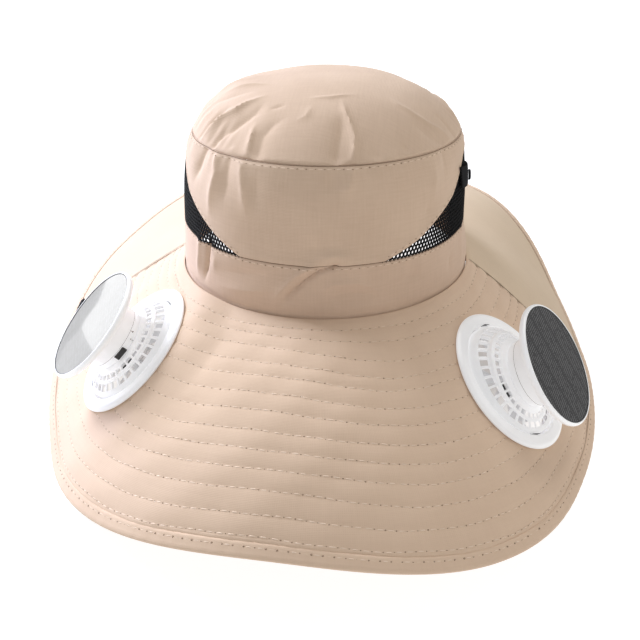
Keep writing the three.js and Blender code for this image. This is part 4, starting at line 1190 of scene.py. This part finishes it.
def latch_shade_line(bottom):
    """Thin moulded line of the collar's latch, drawn dark as painted shade in its groove: points of angle and
    height.
    """
    strips = [[(47.3, 4.0), (48.8, 2.2)], [(48.0, 3.1), (33.7, 2.0), (35.6, 0.5)]]
    points, faces = [], []
    for strip in strips:
        for k, (angle, height) in enumerate(strip):
            radius = collar_radius(height, bottom) + 0.05
            ahead = strip[min(k + 1, len(strip) - 1)], strip[max(k - 1, 0)]
            run = np.array([math.radians(ahead[0][0] - ahead[1][0]) * radius, ahead[0][1] - ahead[1][1]])
            run = run / np.linalg.norm(run)
            for side in (-0.19, 0.19):
                a = math.radians(angle) + side * run[1] / radius
                points.append((radius * math.cos(a), radius * math.sin(a), height - side * run[0]))
            if k:
                n = len(points)
                faces.append([n - 4, n - 2, n - 1, n - 3])
    return np.array(points), faces


def collar_seam_shade(bottom, height=4.35, width=0.16):
    """Thin parting line round the collar, above the socket and the latch, drawn dark as painted shade in its
    groove.
    """
    radius = collar_radius(height, bottom) + 0.04
    angles = np.linspace(0, 2 * np.pi, 97)
    n = len(angles)
    points = [(radius * math.cos(a), radius * math.sin(a), height + h)
              for h in (-width / 2, width / 2) for a in angles]
    return np.array(points), [[k, k + 1, n + k + 1, n + k] for k in range(n - 1)]


def flange_shape():
    low, high, inner = FAN_FOOT, FAN_FOOT + FLANGE_T, THROAT_R
    return lathe(rounded([
        (inner + 0.1, low - 3.2, 0), (inner + 0.65, low - 3.2, 0), (inner + 0.65, low, 0),
        (FLANGE_R - 0.4, low, 1), (FLANGE_R, low + FLANGE_T * 0.36, 1), (FLANGE_R - 1.9, high - 0.1, 1),
        (inner + 1.0, high, 1), (inner + 0.1, high - 0.7, 0.5), (inner + 0.1, low - 3.2, 0),
    ], 0.9), 128)


def housing_shape(bottom):
    return lathe(rounded([
        (0, GAP, 0), (HOUSING_R - 0.3, GAP, 1), (HOUSING_R, GAP + 0.5, 1),
        (HOUSING_R + 0.5, bottom * 0.45, 1), (HOUSING_R + 1.4, bottom * 0.8, 1),
        (HOUSING_TOP, bottom - 0.4, 0.5), (0, bottom - 0.4, 0),
    ], 1.2), 128)


def frame_shape(bottom, rise, lip):
    floor = rise - 0.4 - 1.0 - GAP
    return lathe(rounded([
        (0, bottom, 0), (HOUSING_TOP + 0.5, bottom, 1), (FRAME_R - 1.3, bottom + 0.9, 1),
        (FRAME_R, bottom + 2.2, 1), (FRAME_R, rise - 1.0, 1), (FRAME_R - 0.8, rise, 1), (lip, rise, 0.4),
        (lip, floor, 0), (0, floor, 0),
    ], 1.1), 160)


def cell_shape(rise, lip):
    low, high, radius = rise - 1.4, rise - CELL_SINK, lip - 0.12
    return lathe(rounded([
        (0, low, 0), (radius, low, 0), (radius, high, 0.4), (radius - 0.9, high, 0), (0, high, 0),
    ], 0.4), 160)


def fan_pieces(side):
    fan = PLACES[side]
    rise = HEAD_H - GRILLE_H
    bottom = rise - FRAME_RIM
    lip = FRAME_R - FRAME_LIP
    # A black ring round the cell's rim, inside the frame's lip: painted shade of the recess.
    edge = lathe([(lip - 0.02, rise - 0.36), (lip - 0.02, rise - 0.2), (lip - 0.5, rise - 0.28),
                  (lip - 0.5, rise - 0.38), (lip - 0.02, rise - 0.36)], 128)
    port = box_shape((2.4, 7.2, 3.2), (HOUSING_R + 0.55 - 1.2, 0, 0.6 + 1.6), math.radians(fan["port"]))
    local_piece(f"fan_flange_{side}_shell", flange_shape(), fan, WHITE, f"fan_flange_{side}")
    local_piece(f"fan_grille_{side}_shell", grille_shape(), fan, WHITE, f"fan_grille_{side}", bend=True)
    local_piece(f"fan_housing_{side}_shell", housing_shape(bottom), fan, WHITE, f"fan_housing_{side}",
                head=True)
    local_piece(f"solar_frame_{side}_shell", frame_shape(bottom, rise, lip), fan, WHITE,
                f"solar_frame_{side}", head=True)
    local_piece(f"solar_cell_{side}_glass", cell_shape(rise, lip), fan, CELL, f"solar_cell_{side}", head=True,
                angle=30)
    local_piece(f"solar_cell_{side}_edge", edge, fan, BLACK_AND_SHADE, head=True)
    local_piece(f"charging_port_{side}_socket", port, fan, BLACK_AND_SHADE, f"charging_port_{side}", head=True)
    local_piece(f"motor_contact_{side}", contact_shape(side), fan, BLACK_AND_SHADE, bend=True)
    local_piece(f"collar_seam_shade_{side}", collar_seam_shade(bottom), fan, GROOVE_SHADE, head=True)
    if side == "left":
        local_piece("collar_latch_shade_left", latch_shade_line(bottom), fan, GROOVE_SHADE, head=True)
    # Dark arcs at the flange's clip notches: painted shade in the notches.
    for k, middle in enumerate((100, 262) if side == "left" else (62, 232)):
        a = math.radians(middle)
        clip = arc_strip(THROAT_R - 0.25, 0.5, a - 0.13, a + 0.13, FAN_FOOT + FLANGE_T + 0.04, 1.2)
        local_piece(f"flange_clip_{side}_{k + 1}", clip, fan, BLACK_AND_SHADE)
    # The impeller and the clamp take the darker, faintly glowing copy of the white plastic: painted shade and
    # painted light.
    for node in (f"fan_clamp_{side}", f"impeller_{side}"):
        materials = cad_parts[node].data.materials
        materials.clear()
        materials.append(WHITE_INNER_SHADE_AND_GLOW)


def stage_piece(name, corners, paint, low=0.0):
    mesh = bpy.data.meshes.new(name)
    mesh.from_pydata(corners, [], [tuple(range(len(corners)))])
    mesh.materials.append(paint.material)
    obj = bpy.data.objects.new(name, mesh)
    obj.location.z = low
    bpy.context.scene.collection.objects.link(obj)
    return obj


def board(name, at, azimuth, distance, outline, radiance):
    """A glowing board that only glossy reflections see, placed for a solar cell to mirror."""
    away = (math.sin(math.radians(azimuth)), math.cos(math.radians(azimuth)))
    across = (-away[1], away[0])
    paint = Paint(name, (0.01, 0.01, 0.01), 1.0, Specular_IOR_Level=0.0,
                  Emission_Color=(1, 1, 1, 1), Emission_Strength=radiance)
    centre = [at[k] + away[k] * distance * MM for k in (0, 1)]
    corners = [(centre[0] + across[0] * u * MM, centre[1] + across[1] * u * MM, z * MM) for u, z in outline]
    obj = stage_piece(name, corners, paint)
    obj.visible_camera = obj.visible_diffuse = obj.visible_shadow = obj.visible_transmission = False


def floor():
    """Pale floor that gives off light of its own, less of it in an oval under the hat: a painted shadow there.
    """
    paint = Paint("pale_floor", (0.3, 0.3, 0.3), 0.8, Emission_Color=(1, 1, 1, 1))
    place = paint.node("TexCoord").outputs["Object"]
    oval = paint.node("Mapping", place, Location=FLOOR_OVAL_AT, Scale=FLOOR_OVAL_SCALE)
    far = paint.node("VectorMath")
    far.operation = "LENGTH"
    paint.link(oval.outputs["Vector"], far.inputs[0])
    inner, outer = FLOOR_OVAL_EDGE
    shade = paint.node("MapRange", From_Min=inner, From_Max=outer, To_Min=FLOOR_LIGHT_UNDER,
                       To_Max=FLOOR_LIGHT_OUTSIDE)
    paint.link(far.outputs["Value"], shade.inputs["Value"])
    paint.link(shade.outputs["Result"], paint.bsdf.inputs["Emission Strength"])
    corners = [(x * FLOOR_HALF, y * FLOOR_HALF, 0) for x, y in ((-1, -1), (1, -1), (1, 1), (-1, 1))]
    stage_piece("floor", corners, paint, FLOOR_LOW)


def area_light(name, at, target, size, power, colour, glossy):
    light = bpy.data.lights.new(name, "AREA")
    light.shape = "RECTANGLE"
    light.size, light.size_y = size
    light.energy = power
    light.color = colour
    obj = bpy.data.objects.new(name, light)
    obj.location = at
    obj.rotation_euler = (Vector(target) - Vector(at)).to_track_quat("-Z", "Y").to_euler()
    obj.visible_camera = False
    obj.visible_glossy = glossy
    bpy.context.scene.collection.objects.link(obj)


def stage():
    floor()
    world = bpy.data.worlds.new("studio")
    bpy.context.scene.world = world
    world.use_nodes = True
    background = world.node_tree.nodes["Background"]
    background.inputs["Color"].default_value = (1, 1, 1, 1)
    background.inputs["Strength"].default_value = WORLD_LIGHT
    for light in LIGHTS:
        area_light(*light)
    for row in BOARDS:
        board(*row)
    settings = bpy.context.scene.view_settings
    settings.view_transform = "Standard"
    settings.look = "None"


def camera():
    data = bpy.data.cameras.new("camera")
    data.lens = LENS
    data.sensor_width = 36.0
    data.clip_start = 0.01
    obj = bpy.data.objects.new("camera", data)
    rows = [list(CAMERA_AXES[k]) + [CAMERA_AT[k]] for k in range(3)] + [[0, 0, 0, 1]]
    obj.matrix_world = Matrix(rows)
    bpy.context.scene.collection.objects.link(obj)
    bpy.context.scene.camera = obj


camera()
stage()
crown_tip_piece()
crown_side_piece()
crown_band_piece()
crown_seams()
net_piece("left", -1)
net_piece("right", 1)
strap_pieces()
brim_front_piece()
brim_back_piece()
quilting_stitches()
side_seams()
hem_piece()
hem_seams()
hem_tab()
fan_pieces("left")
fan_pieces("right")
